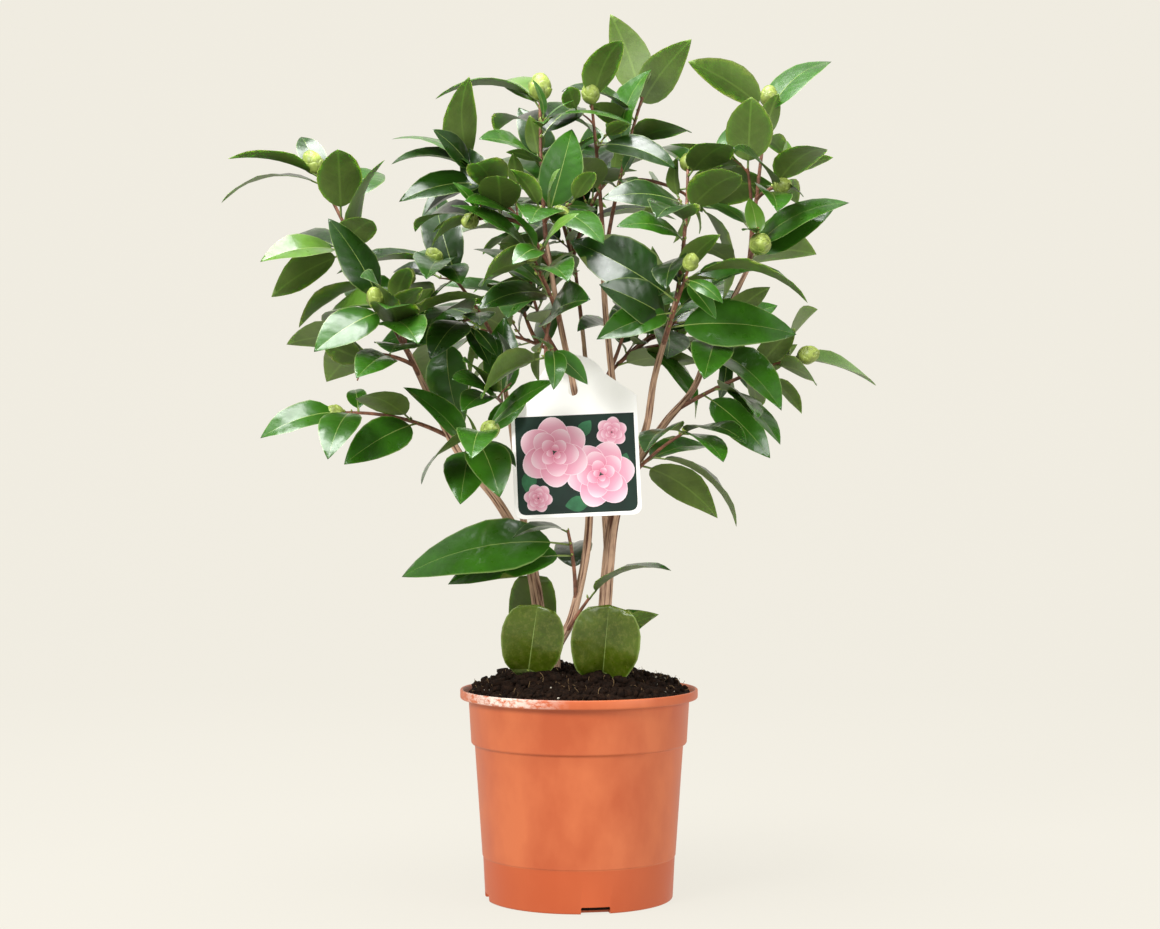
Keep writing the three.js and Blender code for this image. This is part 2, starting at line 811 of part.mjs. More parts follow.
/** The potting soil fills the pot and rises to a low mound, with a socket round each stem. */
function soilSolid(limbs) {
  const { collar, baseRadius, wall, floor, height, innerLip } = POT;
  const inside = wall + 2 * AIR;
  const share = (SOIL.edge - collar.z) / (height - innerLip - collar.z);
  const edgeRadius = lerp(collar.radiusAbove, collar.radiusTop, share) - inside;
  const outline = [
    [0, floor + AIR],
    [baseRadius - inside, floor + AIR],
    [collar.radiusBelow - inside, collar.z - wall],
    [collar.radiusAbove - inside, collar.z + wall],
    [edgeRadius, SOIL.edge],
  ];
  for (const across of SOIL.rings) {
    const rise = (SOIL.top - SOIL.edge) * Math.cos((across * Math.PI) / 2) ** SOIL.fullness;
    outline.push([edgeRadius * across, SOIL.edge + rise]);
  }
  const mound = solidOf(turned(outline, SOIL.segments));
  return mound.subtract(Manifold.union(limbs.map((limb) => limb.grown)));
}

/** Stands a flat shape up at the label's hole, leaning out at the bottom. */
function placeLabel(object) {
  object.position.set(...LABEL.hole);
  object.rotation.set(radians(90 - LABEL.lean), 0, radians(LABEL.turn));
}

function labelGeometry() {
  const { halfWidth, dome, shoulder, bottom, corner, thickness, slot } = LABEL;
  const card = new THREE.Shape();
  card.moveTo(-halfWidth + corner, bottom);
  card.lineTo(halfWidth - corner, bottom);
  card.quadraticCurveTo(halfWidth, bottom, halfWidth, bottom + corner);
  card.lineTo(halfWidth, shoulder);
  card.lineTo(dome.halfWidth, dome.foot);
  card.quadraticCurveTo(dome.fullness, dome.top, 0, dome.top);
  card.quadraticCurveTo(-dome.fullness, dome.top, -dome.halfWidth, dome.foot);
  card.lineTo(-halfWidth, shoulder);
  card.lineTo(-halfWidth, bottom + corner);
  card.quadraticCurveTo(-halfWidth, bottom, -halfWidth + corner, bottom);
  const hole = new THREE.Path();
  const end = (slot.length - slot.width) / 2;
  hole.absarc(0, end, slot.width / 2, 0, Math.PI, false);
  hole.absarc(0, -end, slot.width / 2, Math.PI, 2 * Math.PI, false);
  card.holes.push(hole);
  const geometry = new THREE.ExtrudeGeometry(card, {
    depth: thickness,
    bevelEnabled: false,
    curveSegments: LABEL.curveSegments,
  });
  return geometry.translate(0, 0, -thickness / 2);
}

const bark = new THREE.MeshStandardMaterial({ color: "#9c7a5e", roughness: 0.85 });
const leafGreen = new THREE.MeshStandardMaterial({ color: "#2c6428", roughness: 0.35 });
const terracotta = new THREE.MeshStandardMaterial({ color: "#d9734a", roughness: 0.45 });
const earth = new THREE.MeshStandardMaterial({ color: "#2b2019", roughness: 1 });
const card = new THREE.MeshStandardMaterial({ color: "#f4f3ee", roughness: 0.4 });

function named(name, geometry, material) {
  const mesh = new THREE.Mesh(geometry, material);
  mesh.name = name;
  return mesh;
}

/** Limbs in order, each cut clear of the ones before it. */
function buildLimbs() {
  const limbs = {};
  for (const [name, spec] of Object.entries(LIMBS)) {
    const limb = limbOf(spec);
    const earlier = Object.values(limbs).map((other) => other.grown);
    limb.solid = earlier.length ? mainBody(limb.bare.subtract(Manifold.union(earlier))) : limb.bare;
    limbs[name] = limb;
  }
  return limbs;
}

/** The shoots and buds of mass number `m`, before its leaves. */
function startMass(name, spec, m, limbs) {
  const mass = { name, shoots: [], solids: [] };
  const grow = (parent, share, tip, shoot) => {
    const curve = shootCurve(parent, share, tip);
    mass.shoots.push({ near: [], far: [], leaves: 0, breadth: 1, ...shoot, curve });
    mass.solids.push(shootSolid(curve));
    if (shoot.bud) mass.solids.push(budSolid(curve, shoot.bud));
  };
  for (const shoot of spec.shoots) {
    const { from, share } = shoot;
    const tip = vector(shoot.tip);
    if (from === undefined) grow(limbs[spec.on].curve, spec.at, tip, shoot);
    else grow(mass.shoots[from].curve, share, tip, shoot);
  }
  const [stem] = mass.shoots;
  const { twigs = 0 } = spec;
  for (let k = 0; k < twigs; k++) {
    const dice = new Dice(m * SEED.mass + SEED.twig + k);
    const share = lerp(...TWIG.shares, (k + 0.5) / twigs);
    grow(stem.curve, share, twigTip(stem.curve, share, k, dice), { leaves: stem.leaves - 1 });
  }
  return mass;
}

/** Every leaf of every mass: first the aimed ones, then those that the rule adds. */
function growLeaves(masses, neighbours) {
  const eachShoot = (grow) =>
    masses.forEach((mass, m) =>
      mass.shoots.forEach((shoot, s) => grow(mass, shoot, m * SEED.mass + s * SEED.shoot)),
    );
  eachShoot((mass, { curve, near, far, breadth }, seed) => {
    [...near, ...far].forEach((row, k) => {
      const sign = k < near.length ? -1 : 1;
      growLeaf(aimedTries(curve, row, sign, new Dice(seed + k), breadth), mass, neighbours);
    });
  });
  eachShoot((mass, { curve, leaves, breadth }, seed) => {
    const start = new Dice(seed + SEED.ruledLeaf).between([0, 2 * Math.PI]);
    for (let k = 0; k < leaves; k++) {
      const dice = new Dice(seed + SEED.ruledLeaf + 1 + k);
      growLeaf(ruledTries(curve, k, leaves, start, dice, breadth), mass, neighbours);
    }
  });
}

function buildShrub() {
  const shrub = new THREE.Group();
  shrub.name = "camellia_in_pot";
  const limbs = buildLimbs();
  const neighbours = new Neighbours();

  const pot = potSolid();
  const soil = soilSolid(Object.values(limbs));
  shrub.add(named("pot", geometryOf(pot), terracotta));
  shrub.add(named("soil", geometryOf(soil), earth));
  neighbours.add("pot", "body", pot);
  neighbours.add("soil", "body", soil);

  for (const [name, limb] of Object.entries(limbs)) {
    shrub.add(named(name, geometryOf(limb.solid), bark));
    neighbours.add(name, "body", limb.solid);
  }

  const label = named("label", labelGeometry(), card);
  placeLabel(label);
  label.updateMatrixWorld();
  shrub.add(label);
  neighbours.add("label", "body", solidOf(label.geometry.clone().applyMatrix4(label.matrixWorld)));

  const masses = Object.entries(FOLIAGE).map(([name, spec], m) => startMass(name, spec, m, limbs));
  masses.forEach((mass) => mass.solids.forEach((solid) => neighbours.add(mass.name, "body", solid)));
  growLeaves(masses, neighbours);

  const allLimbs = Manifold.union(Object.values(limbs).map((limb) => limb.grown));
  for (const mass of masses) {
    const solid = mainBody(Manifold.union(mass.solids).subtract(allLimbs));
    shrub.add(named(mass.name, geometryOf(solid), leafGreen));
  }
  return shrub;
}

export default buildShrub();
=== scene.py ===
"""A camellia shrub in a round nursery pot, dressed over its CAD solids.

The named sizes are in millimetres and Blender's in metres, +Z up, +X to the right and -Y to the viewer.
The origin is the centre of the pot's flat underside. The limbs, shoots and leaves grow by the same
seeded rule as the solids, and small leaves on finer twigs are added within each mass's reach.
"""

import math

import bmesh
import bpy
import numpy as np
from bpy.props import FloatProperty, FloatVectorProperty, IntProperty, PointerProperty
from mathutils import Matrix, Vector
from mathutils.kdtree import KDTree


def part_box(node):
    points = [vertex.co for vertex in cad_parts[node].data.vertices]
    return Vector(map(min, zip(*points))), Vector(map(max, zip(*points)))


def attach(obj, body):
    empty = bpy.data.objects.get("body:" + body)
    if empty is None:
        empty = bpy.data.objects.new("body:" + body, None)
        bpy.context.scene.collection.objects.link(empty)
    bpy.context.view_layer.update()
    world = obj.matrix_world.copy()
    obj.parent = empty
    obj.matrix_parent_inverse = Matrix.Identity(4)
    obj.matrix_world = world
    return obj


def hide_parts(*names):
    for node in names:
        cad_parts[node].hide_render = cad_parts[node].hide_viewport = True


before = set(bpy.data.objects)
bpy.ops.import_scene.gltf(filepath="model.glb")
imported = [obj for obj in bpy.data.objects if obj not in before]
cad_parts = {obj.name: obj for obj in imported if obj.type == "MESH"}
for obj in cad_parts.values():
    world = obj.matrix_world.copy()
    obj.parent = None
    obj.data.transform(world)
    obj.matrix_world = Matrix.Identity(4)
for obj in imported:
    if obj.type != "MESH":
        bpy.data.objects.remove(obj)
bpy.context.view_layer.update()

bl_info = {
    "name": "Camellia in a nursery pot",
    "version": (1, 0, 0),
    "blender": (4, 5, 0),
    "location": "3D View > Sidebar > Camellia",
    "description": "Builds a potted camellia shrub with leaves, buds, bark, soil, pot and plant label",
    "category": "Add Mesh",
}

MM = 0.001

# The pot is turned from this outline, with four drain notches cut into its foot.
POT = {
    "rim_radius": 95,
    "height": 167,
    "lip_height": 7.4,
    "inside_lip": {"radius": 92.8, "step": 90.7, "rise": 3},
    "base_radius": 75,
    "wall": 2,
    "floor": 2.5,
    "bevel": 0.8,
    "foot_line": {"z": 34, "radius": 76.7, "step": 0.6},
    "collar": {"z": 123, "radius_below": 83.4, "radius_above": 86.2, "radius_top": 88.3},
    "drain": {
        "width": 23,
        "height": 5.5,
        "depth": 9,
        "first_angle": 10,
        "count": 4,
        "rounding": 1.2,
        "rounding_steps": 3,
    },
    "rounding": 1.5,
    "rounding_steps": 3,
    "crisp_above": 35,
    "segments": 160,
}

# The soil is a dome that stands clear of the pot by the air at its side and its floor. Lumps rise on
# it, and crumbs lie on it where it isn't too steep.
SOIL = {
    "edge": 162,
    "top": 183,
    "fullness": 0.62,
    "radius": 89.6,
    "air": 0.7,
    "floor_air": 0.35,
    "lump_size": 9,
    "crumbs_within": 84.5,
    "least_slope": 0.3,
    "rings": 60,
    "segments": 150,
}
# Where the stems end in a flat cut, a little under the top of the soil.
GROUND = 173

LABEL = {
    "hole": (-5, -20, 411),
    "half_width": 50,
    "dome": {"half_width": 25, "fullness": 17, "foot": 7, "top": 22},
    "shoulder": -12,
    "bottom": -107,
    "corner": 8,
    "thickness": 1.2,
    "edge": 0.15,
    "lean": 8,
    "turn": 2.5,
    "slot": {"width": 7.4, "length": 21},
    "curve_segments": 12,
    "panel": {"half_width": 47, "top": -26, "bottom": -104, "corner": 7},
}

# Each limb runs through a few places and tapers from its first radius to its last.
LIMBS = {
    "stem_left": dict(radii=(5.3, 4.7),
        path=[(-27, 22, 165), (-33, 22, 231), (-40, 18, 273)]),
    "stem_middle": dict(radii=(4.2, 1.9),
        path=[
            (-17, -8, 165), (-18, -8, 197), (-5, -4, 226), (7, 8, 285),
            (7, 8, 350), (-5, -20, 411), (-16, -34, 464), (-26, -34, 523),
        ]),
    "stem_right": dict(radii=(5.6, 4.6),
        path=[(19, 22, 165), (21, 20, 231), (27, 12, 297), (36, 6, 334)]),
    "bough_left": dict(radii=(4.2, 2.1),
        path=[(-40, 18, 273), (-66, 8, 317), (-93, -5, 351), (-113, -15, 388), (-135, -20, 435)]),
    "bough_inner": dict(radii=(3.2, 1.9),
        path=[(-40, 18, 273), (-46, 26, 307), (-55, 42, 374), (-67, 55, 444)]),
    "bough_right": dict(radii=(3.6, 1.9),
        path=[(36, 6, 334), (53, -10, 374), (60, -28, 417), (76, -48, 475)]),
    "bough_far_right": dict(radii=(3.4, 1.9),
        path=[(36, 6, 334), (69, 14, 379), (92, 10, 407), (107, 2, 445), (135, -5, 503)]),
    "bough_centre": dict(radii=(3.3, 1.9),
        path=[(36, 6, 334), (29, 34, 398), (21, 44, 480), (19, 36, 541)]),
    "bough_back": dict(radii=(3.2, 1.8),
        path=[(24, 16, 269), (19, 70, 333), (9, 112, 400), (3, 135, 460)]),
}
FLARE = {"widening": 0.3, "height": 14}

# A shoot tapers between these radii, and sets off partly along its parent for this share of its reach.
SHOOT = {"radii": (1.9, 1.2), "lead": 0.5, "along_parent": 0.5}
LEAF = {"length": 84, "breadth": 0.48}

# How leaves vary. Angles are in degrees, and a pair is a range that the dice draw from.
VARIETY = {
    "fold": (7, 19),
    "breadth": (0.94, 1.1),
    "span": (0.8, 1.04),
    "arch": {"face_on": 36, "flat": 78, "jitter": 8, "ruled": (28, 66)},
    "shares": (0.38, 0.97),
    "crowding": 0.8,
    "spread": {"low": 76, "high": 44, "jitter": 10},
    "azimuth_jitter": 17,
    "droop": (0, 0.36),
    "roll": (-0.4, 0.4),
}

# Leaves measured from the front have this length where their tip doesn't show it, and these further
# tries for their tip's depth. Leaves by the rule are tried at these turns instead.
AIMED = {"length": 76, "flat_at": 70, "depths": (0, -9, 9, -18, 18, -28, 28, -40, 40)}
TURNS = (0, 0.5, -0.5, 1, -1, 1.6, -1.6, 2.3, -2.3)

# Each mass, shoot, leaf and twig draws from dice of its own.
SEED = {"mass": 1000, "shoot": 100, "ruled_leaf": 50, "twig": 90}
DICE = {
    "range": 2**32,
    "factor": 1664525,
    "step": 1013904223,
    "seed_factor": 7919,
    "seed_step": 12345,
    "warm_up": 4,
}

BUD = {"breadth": 0.76, "sink": 1.5}
TWIG = {"shares": (0.2, 0.6), "spread": (38, 58), "reach": (0.55, 0.8), "lift": 0.25}

# A blade is this much narrower than its plain solid, and folded this much more.
SLENDER = 0.94
CREASED = 1.3
# The broad leaves that stand half buried in the soil: how much of the foot of their outline is cut off,
# where that cut lies as a share of the leaf below its own foot, and how much more they are folded.
BURIED = {"foot": 0.66, "tip": 0.36, "cut": 0.07, "below": -0.12, "crease": 2.2}
# How wide they are beside their solids: the one that faces the viewer, and one behind it.
BURIED_WIDTHS = {
    "foliage_base_right": (1.18, 0.5),
    "foliage_base_left": (0.86, 1.0),
    "foliage_base_back": (0.74, 1.0),
}

# The viewer's eye, from which the places seen from the front are told.
EYE = {"distance": 1900, "height": 360}
UPRIGHT = 0.99
GOLDEN_TURN = math.radians(137.5)
UP = np.array((0.0, 0.0, 1.0))
ACROSS = np.array((1.0, 0.0, 0.0))
# A solid has a corner this close to the tip of each leaf that it holds, and heights that are less apart
# than this are the same.
SAME_PLACE = 0.3
SAME_HEIGHT = 0.01

# Where the foliage grows. The first shoot of a mass is its stem, and springs from its limb. A later
# one springs from shoot number out_of, at that share of its length. leaves is how many leaves the
# seeded rule gives a shoot, twigs how many twigs it gives a mass, and bud is a bud's length. near and
# far hold the leaves that reach a place of their own, towards the viewer or away: share of the shoot,
# x and z of the tip seen from the front, degrees that its upper face turns to the viewer, and the
# leaf's length where it is a small one.
FOLIAGE = {
    "foliage_left_top": dict(on="bough_left", at=1, shoots=[
        dict(tip=(-208, -10, 579), leaves=2, bud=21,
            near=[(0.92, -286, 555, 10), (0.74, -193, 598, 20)],
            far=[(0.96, -222, 608, 45, 42), (0.83, -156, 578, 50)]),
        dict(out_of=0, share=0.45, tip=(-190, -25, 516), leaves=1,
            near=[(0.98, -165, 541, -50, 60), (0.92, -255, 508, 45), (0.77, -246, 480, -50)],
            far=[(0.86, -242, 517, 30)]),
    ]),
    "foliage_left_mid": dict(on="bough_left", at=0.9, shoots=[
        dict(tip=(-154, -55, 470), leaves=2, bud=20,
            near=[(0.92, -212, 436, 55), (0.86, -175, 496, 60), (0.53, -154, 470, 40, 60),
                (0.7, -128, 442, 40)],
            far=[(0.98, -204, 458, 40)]),
        dict(out_of=0, share=0.35, tip=(-138, 0, 492), leaves=2, bud=17,
            far=[(0.41, -116, 487, -60, 60), (0.56, -187, 490, 70)]),
        dict(out_of=0, share=0.15, tip=(-168, -58, 432),
            near=[(0.5, -178, 415, 70)],
            far=[(0.95, -202, 412, -40), (0.89, -234, 442, -35)]),
    ]),
    "foliage_left_low": dict(on="bough_left", at=0.62, shoots=[
        dict(tip=(-186, -35, 387), bud=17,
            near=[(0.98, -255, 367, 45), (0.92, -201, 350, 30), (0.32, -188, 346, 60),
                (0.38, -178, 399, -40)],
            far=[(0.86, -179, 406, 30, 34)]),
    ]),
    "foliage_left_inner": dict(on="bough_left", at=0.45, shoots=[
        dict(tip=(-72, -60, 372), leaves=3, bud=19,
            near=[(0.95, -126, 330, -30), (0.44, -95, 314, 65), (0.89, -86, 350, 30)]),
    ]),
    "foliage_centre_left": dict(on="stem_middle", at=0.95, shoots=[
        dict(tip=(-86, -35, 579), leaves=2,
            near=[(0.98, -117, 614, 60, 56), (0.92, -150, 586, 20), (0.8, -144, 556, 45),
                (0.65, -82, 587, -60), (0.4, -92, 556, 40)],
            far=[(0.86, -150, 606, 10)]),
        dict(out_of=0, share=0.4, tip=(-80, -62, 536), leaves=1, bud=16,
            near=[(0.44, -65, 577, -70)],
            far=[(0.98, -131, 532, 30)]),
    ]),
    "foliage_left_back": dict(on="bough_inner", at=1, shoots=[
        dict(tip=(-113, 20, 510), leaves=3, bud=17,
            near=[(0.98, -122, 494, 60), (0.92, -94, 490, 40, 60)],
            far=[(0.86, -123, 514, 20, 60)]),
        dict(out_of=0, share=0.3, tip=(-106, 10, 448), leaves=2,
            near=[(0.47, -119, 430, 40), (0.11, -79, 457, 50, 60)],
            far=[(0.98, -120, 408, 30)]),
    ]),
    "foliage_inner": dict(on="bough_inner", at=0.72, shoots=[
        dict(tip=(-70, -8, 400), leaves=2,
            near=[(0.86, -102, 414, 60), (0.98, -94, 388, 50, 60), (0.05, -92, 321, 40)]),
    ]),
    "foliage_centre_front": dict(on="stem_middle", at=0.84, shoots=[
        dict(tip=(-35, -75, 505), leaves=3, bud=17,
            near=[(0.38, -81, 470, 45), (0.92, -78, 488, -50)],
            far=[(0.47, -62, 498, 30)]),
        dict(out_of=0, share=0.2, tip=(-26, -66, 428), leaves=1,
            near=[(0.98, -78, 398, -45)]),
    ]),
    "foliage_centre_top": dict(on="stem_middle", at=1, shoots=[
        dict(tip=(-31, -10, 637), leaves=1, bud=24,
            near=[(0.98, -115, 638, 10), (0.83, 45, 616, 10), (0.65, -77, 563, 35),
                (0.5, -80, 606, 40)],
            far=[(0.92, -66, 650, 20), (0.77, -67, 611, 10), (0.71, 2, 631, 50),
                (0.59, -11, 590, -30, 60)]),
        dict(out_of=0, share=0.12, tip=(-18, -50, 541), leaves=1, bud=20,
            near=[(0.3, -39, 538, 40), (0.6, 20, 522, 35)]),
    ]),
    "foliage_top_mid": dict(on="bough_centre", at=1, shoots=[
        dict(tip=(10, 10, 637), leaves=3, bud=19,
            near=[(0.74, -14, 618, 30), (0.65, 78, 582, 40), (0.26, -2, 591, -70)]),
    ]),
    "foliage_top": dict(on="bough_centre", at=0.8, shoots=[
        dict(tip=(52, 50, 647),
            near=[(0.86, -14, 644, 20), (0.79, 8, 633, -40), (0.71, 90, 611, -30)],
            far=[(0.98, 25, 706, -40), (0.92, 90, 686, -50), (0.62, 58, 662, 10)]),
        dict(out_of=0, share=0.5, tip=(100, 60, 560), leaves=3),
    ]),
    "foliage_top_right": dict(on="bough_right", at=1, shoots=[
        dict(tip=(87, 0, 583), leaves=1, bud=17,
            near=[(0.92, 123, 601, -30), (0.62, 130, 577, -40), (0.68, 18, 558, 45),
                (0.53, 62, 542, 20), (0.3, 70, 486, -40, 60), (0.42, 30, 536, 50)],
            far=[(0.98, 48, 590, 10)]),
    ]),
    "foliage_front": dict(on="bough_right", at=0.8, shoots=[
        dict(tip=(84, -80, 497), leaves=1, bud=16,
            near=[(0.56, -7, 525, 65), (0.32, 16, 490, 70), (0.23, 174, 450, 60),
                (0.86, 183, 475, 5), (0.42, 14, 446, 60)],
            far=[(0.75, 30, 552, 50)]),
    ]),
    "foliage_right_top": dict(on="bough_far_right", at=1, shoots=[
        dict(tip=(133, -25, 580), leaves=1, breadth=1.35,
            near=[(0.98, 138, 640, -80, 64)],
            far=[(0.89, 74, 593, 30)]),
        dict(out_of=0, share=0.15, tip=(152, 15, 636), leaves=1, bud=19,
            near=[(0.95, 87, 668, -45)],
            far=[(0.89, 202, 668, 15)]),
        dict(out_of=1, share=0.35, tip=(156, -15, 566), leaves=1, bud=17,
            near=[(0.98, 123, 599, 50), (0.92, 198, 598, -25)],
            far=[(0.86, 175, 554, -30, 56)]),
        dict(out_of=0, share=0.05, tip=(140, -48, 518), leaves=1, bud=22,
            near=[(0.08, 205, 552, 50)],
            far=[(0.14, 190, 514, -50)]),
    ]),
    "foliage_right": dict(on="bough_far_right", at=0.34, shoots=[
        dict(tip=(174, -25, 431), leaves=2, bud=19,
            near=[(0.65, 173, 455, -60), (0.8, 190, 409, -50, 56), (0.32, 143, 383, -40),
                (0.23, 153, 351, 50)],
            far=[(0.92, 191, 470, -50)]),
    ]),
    "foliage_right_mid": dict(on="bough_far_right", at=0.62, shoots=[
        dict(tip=(112, -38, 452), leaves=3,
            near=[(0.71, 100, 414, 60), (0.98, 153, 488, -35)]),
    ]),
    "foliage_low_right": dict(on="stem_right", at=0.93, shoots=[
        dict(tip=(84, -30, 372), leaves=2,
            near=[(0.5, 126, 296, 5), (0.98, 53, 355, -30), (0.92, 134, 362, 5)],
            far=[(0.35, 111, 303, -40)]),
    ]),
    "foliage_low_left": dict(on="stem_middle", at=0.31, shoots=[
        dict(tip=(-9, -12, 294), leaves=1, breadth=0.85,
            near=[(0.8, -142, 256, 45), (0.65, -105, 250, 50), (0.98, -53, 287, 20, 52)]),
    ]),
    "foliage_low_leaf": dict(on="stem_middle", at=0.2, shoots=[
        dict(tip=(8, -16, 240), near=[(0.98, 74, 261, 5)]),
    ]),
    "foliage_base_right": dict(on="stem_middle", at=0.09, shoots=[
        dict(tip=(20, -42, 183), breadth=2.1,
            near=[(0.97, 24, 234, 80, 56)],
            far=[(0.6, 64, 226, -40)]),
    ]),
    "foliage_base_left": dict(on="stem_middle", at=0.1, shoots=[
        dict(tip=(-42, -38, 183), breadth=2.1, near=[(0.9, -33, 234, 80, 56)]),
    ]),
    "foliage_base_back": dict(on="stem_left", at=0.18, shoots=[
        dict(tip=(-40, 38, 186), breadth=1.7, near=[(0.9, -37, 258, -70)]),
    ]),
    "foliage_back": dict(on="bough_back", at=1, twigs=3, shoots=[
        dict(tip=(-12, 128, 580), leaves=5, bud=18),
    ]),
    "foliage_back_left": dict(on="bough_back", at=0.78, twigs=2, shoots=[
        dict(tip=(-84, 118, 460), leaves=5),
    ]),
    "foliage_back_right": dict(on="bough_back", at=0.66, twigs=3, shoots=[
        dict(tip=(84, 128, 470), leaves=5, bud=18),
    ]),
}


def linear(hex_colour):
    """An sRGB colour such as #d9734a as linear red, green, blue and 1."""
    channels = [int(hex_colour[i : i + 2], 16) / 255 for i in (1, 3, 5)]
    return (*[c / 12.92 if c <= 0.04045 else ((c + 0.055) / 1.055) ** 2.4 for c in channels], 1.0)


def colour_setting(name, description, hex_colour):
    return FloatVectorProperty(
        name=name,
        description=description,
        default=linear(hex_colour)[:3],
        subtype="COLOR",
        size=3,
        min=0,
        max=1,
    )


def length_setting(name, description, millimetres):
    return FloatProperty(
        name=name,
        description=description,
        default=millimetres * MM,
        min=0,
        unit="LENGTH",
        subtype="DISTANCE",
        precision=5,
    )


class CAMELLIA_PG_plant(bpy.types.PropertyGroup):
    """The sizes and colours of the shrub."""

    bark_relief: length_setting("Bark relief", "Depth of the fissures in the limbs' bark", 0.55)
    leaf_thickness: length_setting("Leaf thickness", "Thickness of a leaf at its midrib", 1.1)
    midrib_width: length_setting("Midrib width", "Width of the pale midrib near the foot of a leaf", 1.0)
    side_twigs: IntProperty(
        name="Side twigs",
        description="Fine twigs that each shoot tries to grow",
        default=1,
        min=0,
        max=8,
    )
    old_leaf: colour_setting("Old leaf", "Upper face of the oldest leaves", "#1a3a08")
    grown_leaf: colour_setting("Grown leaf", "Upper face of most leaves", "#2d5c10")
    young_leaf: colour_setting("Young leaf", "Upper face of the leaves near the tips", "#557b29")
    ground_leaf: colour_setting("Ground leaf", "Broad leaves that stand in the soil", "#435409")
    leaf_underside: colour_setting("Leaf underside", "Dull face below each leaf", "#586d2f")
    midrib: colour_setting("Midrib", "Midribs and leaf stalks", "#82964f")
    twig: colour_setting("Twig", "Bark of the young twigs", "#80523c")
    bark: colour_setting("Bark", "Ridges of the stems' bark", "#cba68a")
    fissure: colour_setting("Fissure", "Cracks of the stems' bark", "#54301f")
    bud: colour_setting("Bud", "Scales of the flower buds", "#93a34c")


class CAMELLIA_PG_container(bpy.types.PropertyGroup):
    """The sizes and colours of the pot, the soil and the plant label."""

    pot: colour_setting("Pot", "The moulded pot", "#be582d")
    soil: colour_setting("Soil", "The moist potting soil", "#1c110a")
    soil_lumps: length_setting("Soil lumps", "Height of the lumps in the top of the soil", 12)
    crumbs: IntProperty(
        name="Crumbs", description="Crumbs of soil for each square metre", default=52000, min=0
    )
    card: colour_setting("Card", "The plain card of the plant label", "#fdfcf9")
    panel: colour_setting("Panel", "The printed ground on the plant label", "#0b261d")
    petal: colour_setting("Petal", "The printed petals on the plant label", "#e3a2b8")


class CAMELLIA_PG_stage(bpy.types.PropertyGroup):
    """The floor, the light and the camera."""

    backdrop: colour_setting("Backdrop", "Floor and backdrop", "#f2eee3")
    key_power: FloatProperty(
        name="Key light", description="Power of the large soft light", default=76, min=0, unit="POWER"
    )
    camera_distance: FloatProperty(
        name="Camera distance",
        description="From the pot's axis to the camera",
        default=EYE["distance"] * MM,
        min=0.5,
        unit="LENGTH",
    )
    lens: FloatProperty(
        name="Lens", description="Focal length of the camera in millimetres", default=73.7, min=10
    )


class Dice:
    """Even random numbers that a seed fixes, by a linear congruence."""

    def __init__(self, seed):
        self.state = (seed * DICE["seed_factor"] + DICE["seed_step"]) % DICE["range"]
        for _ in range(DICE["warm_up"]):
            self.roll()

    def roll(self):
        self.state = (self.state * DICE["factor"] + DICE["step"]) % DICE["range"]
        return self.state / DICE["range"]

    def between(self, ends):
        return ends[0] + (ends[1] - ends[0]) * self.roll()

    def either(self, spread):
        return self.between((-spread, spread))


def lerp(low, high, share):
    return low + (high - low) * share


def unit(vector):
    return vector / np.linalg.norm(vector)


def square_to(axis, direction):
    """The part of a direction that stands square to an axis, at length 1."""
    return unit(direction - axis * axis.dot(direction))


class Curve:
    """A curve whose tangent comes from two places close together on it."""

    STEP = 1e-4
    PIECES = 200

    def tangent(self, share):
        low = max(0.0, share - self.STEP)
        high = min(1.0, share + self.STEP)
        return unit(self.point(high) - self.point(low))

    def length(self):
        places = [self.point(i / self.PIECES) for i in range(self.PIECES + 1)]
        return sum(np.linalg.norm(b - a) for a, b in zip(places, places[1:]))


class LimbCurve(Curve):
    """A smooth curve through the places of a limb's path."""

    def __init__(self, path):
        places = [np.array(place, float) for place in path]
        self.places = [2 * places[0] - places[1], *places, 2 * places[-1] - places[-2]]

    def point(self, share):
        stretch = min(int(share * (len(self.places) - 3)), len(self.places) - 4)
        t = share * (len(self.places) - 3) - stretch
        before, start, end, after = self.places[stretch : stretch + 4]
        leaving = (end - before) / 2
        arriving = (after - start) / 2
        square = -3 * start + 3 * end - 2 * leaving - arriving
        cube = 2 * start - 2 * end + leaving + arriving
        return start + leaving * t + square * t**2 + cube * t**3


class ShootCurve(Curve):
    """A shoot sets off partly along its parent and partly towards its tip, and bends to the tip."""

    def __init__(self, parent, share, tip):
        self.root = parent.point(share)
        chord = tip - self.root
        reach = np.linalg.norm(chord)
        lead = unit(parent.tangent(share) * SHOOT["along_parent"] + chord / reach)
        self.bend = self.root + lead * reach * SHOOT["lead"]
        self.tip = tip

    def point(self, share):
        rest = 1 - share
        return self.root * rest**2 + self.bend * 2 * rest * share + self.tip * share**2


def framing(curve, share):
    """The directions round a curve at a share of its length: along it, up from it and sideways."""
    along = curve.tangent(share)
    upper = square_to(along, UP if abs(along[2]) < UPRIGHT else ACROSS)
    return along, upper, np.cross(along, upper)


def leaning(directions, spread, turn):
    """The direction that leans from a curve by the spread, towards this turn round it."""
    along, upper, beside = directions
    outward = upper * math.cos(turn) + beside * math.sin(turn)
    return along * math.cos(spread) + outward * math.sin(spread)


def seen_at(x, z, depth):
    """The place at a depth that the viewer's eye sees over x and z at the pot's axis."""
    scale = 1 + depth / EYE["distance"]
    return np.array((x * scale, depth, EYE["height"] + (z - EYE["height"]) * scale))


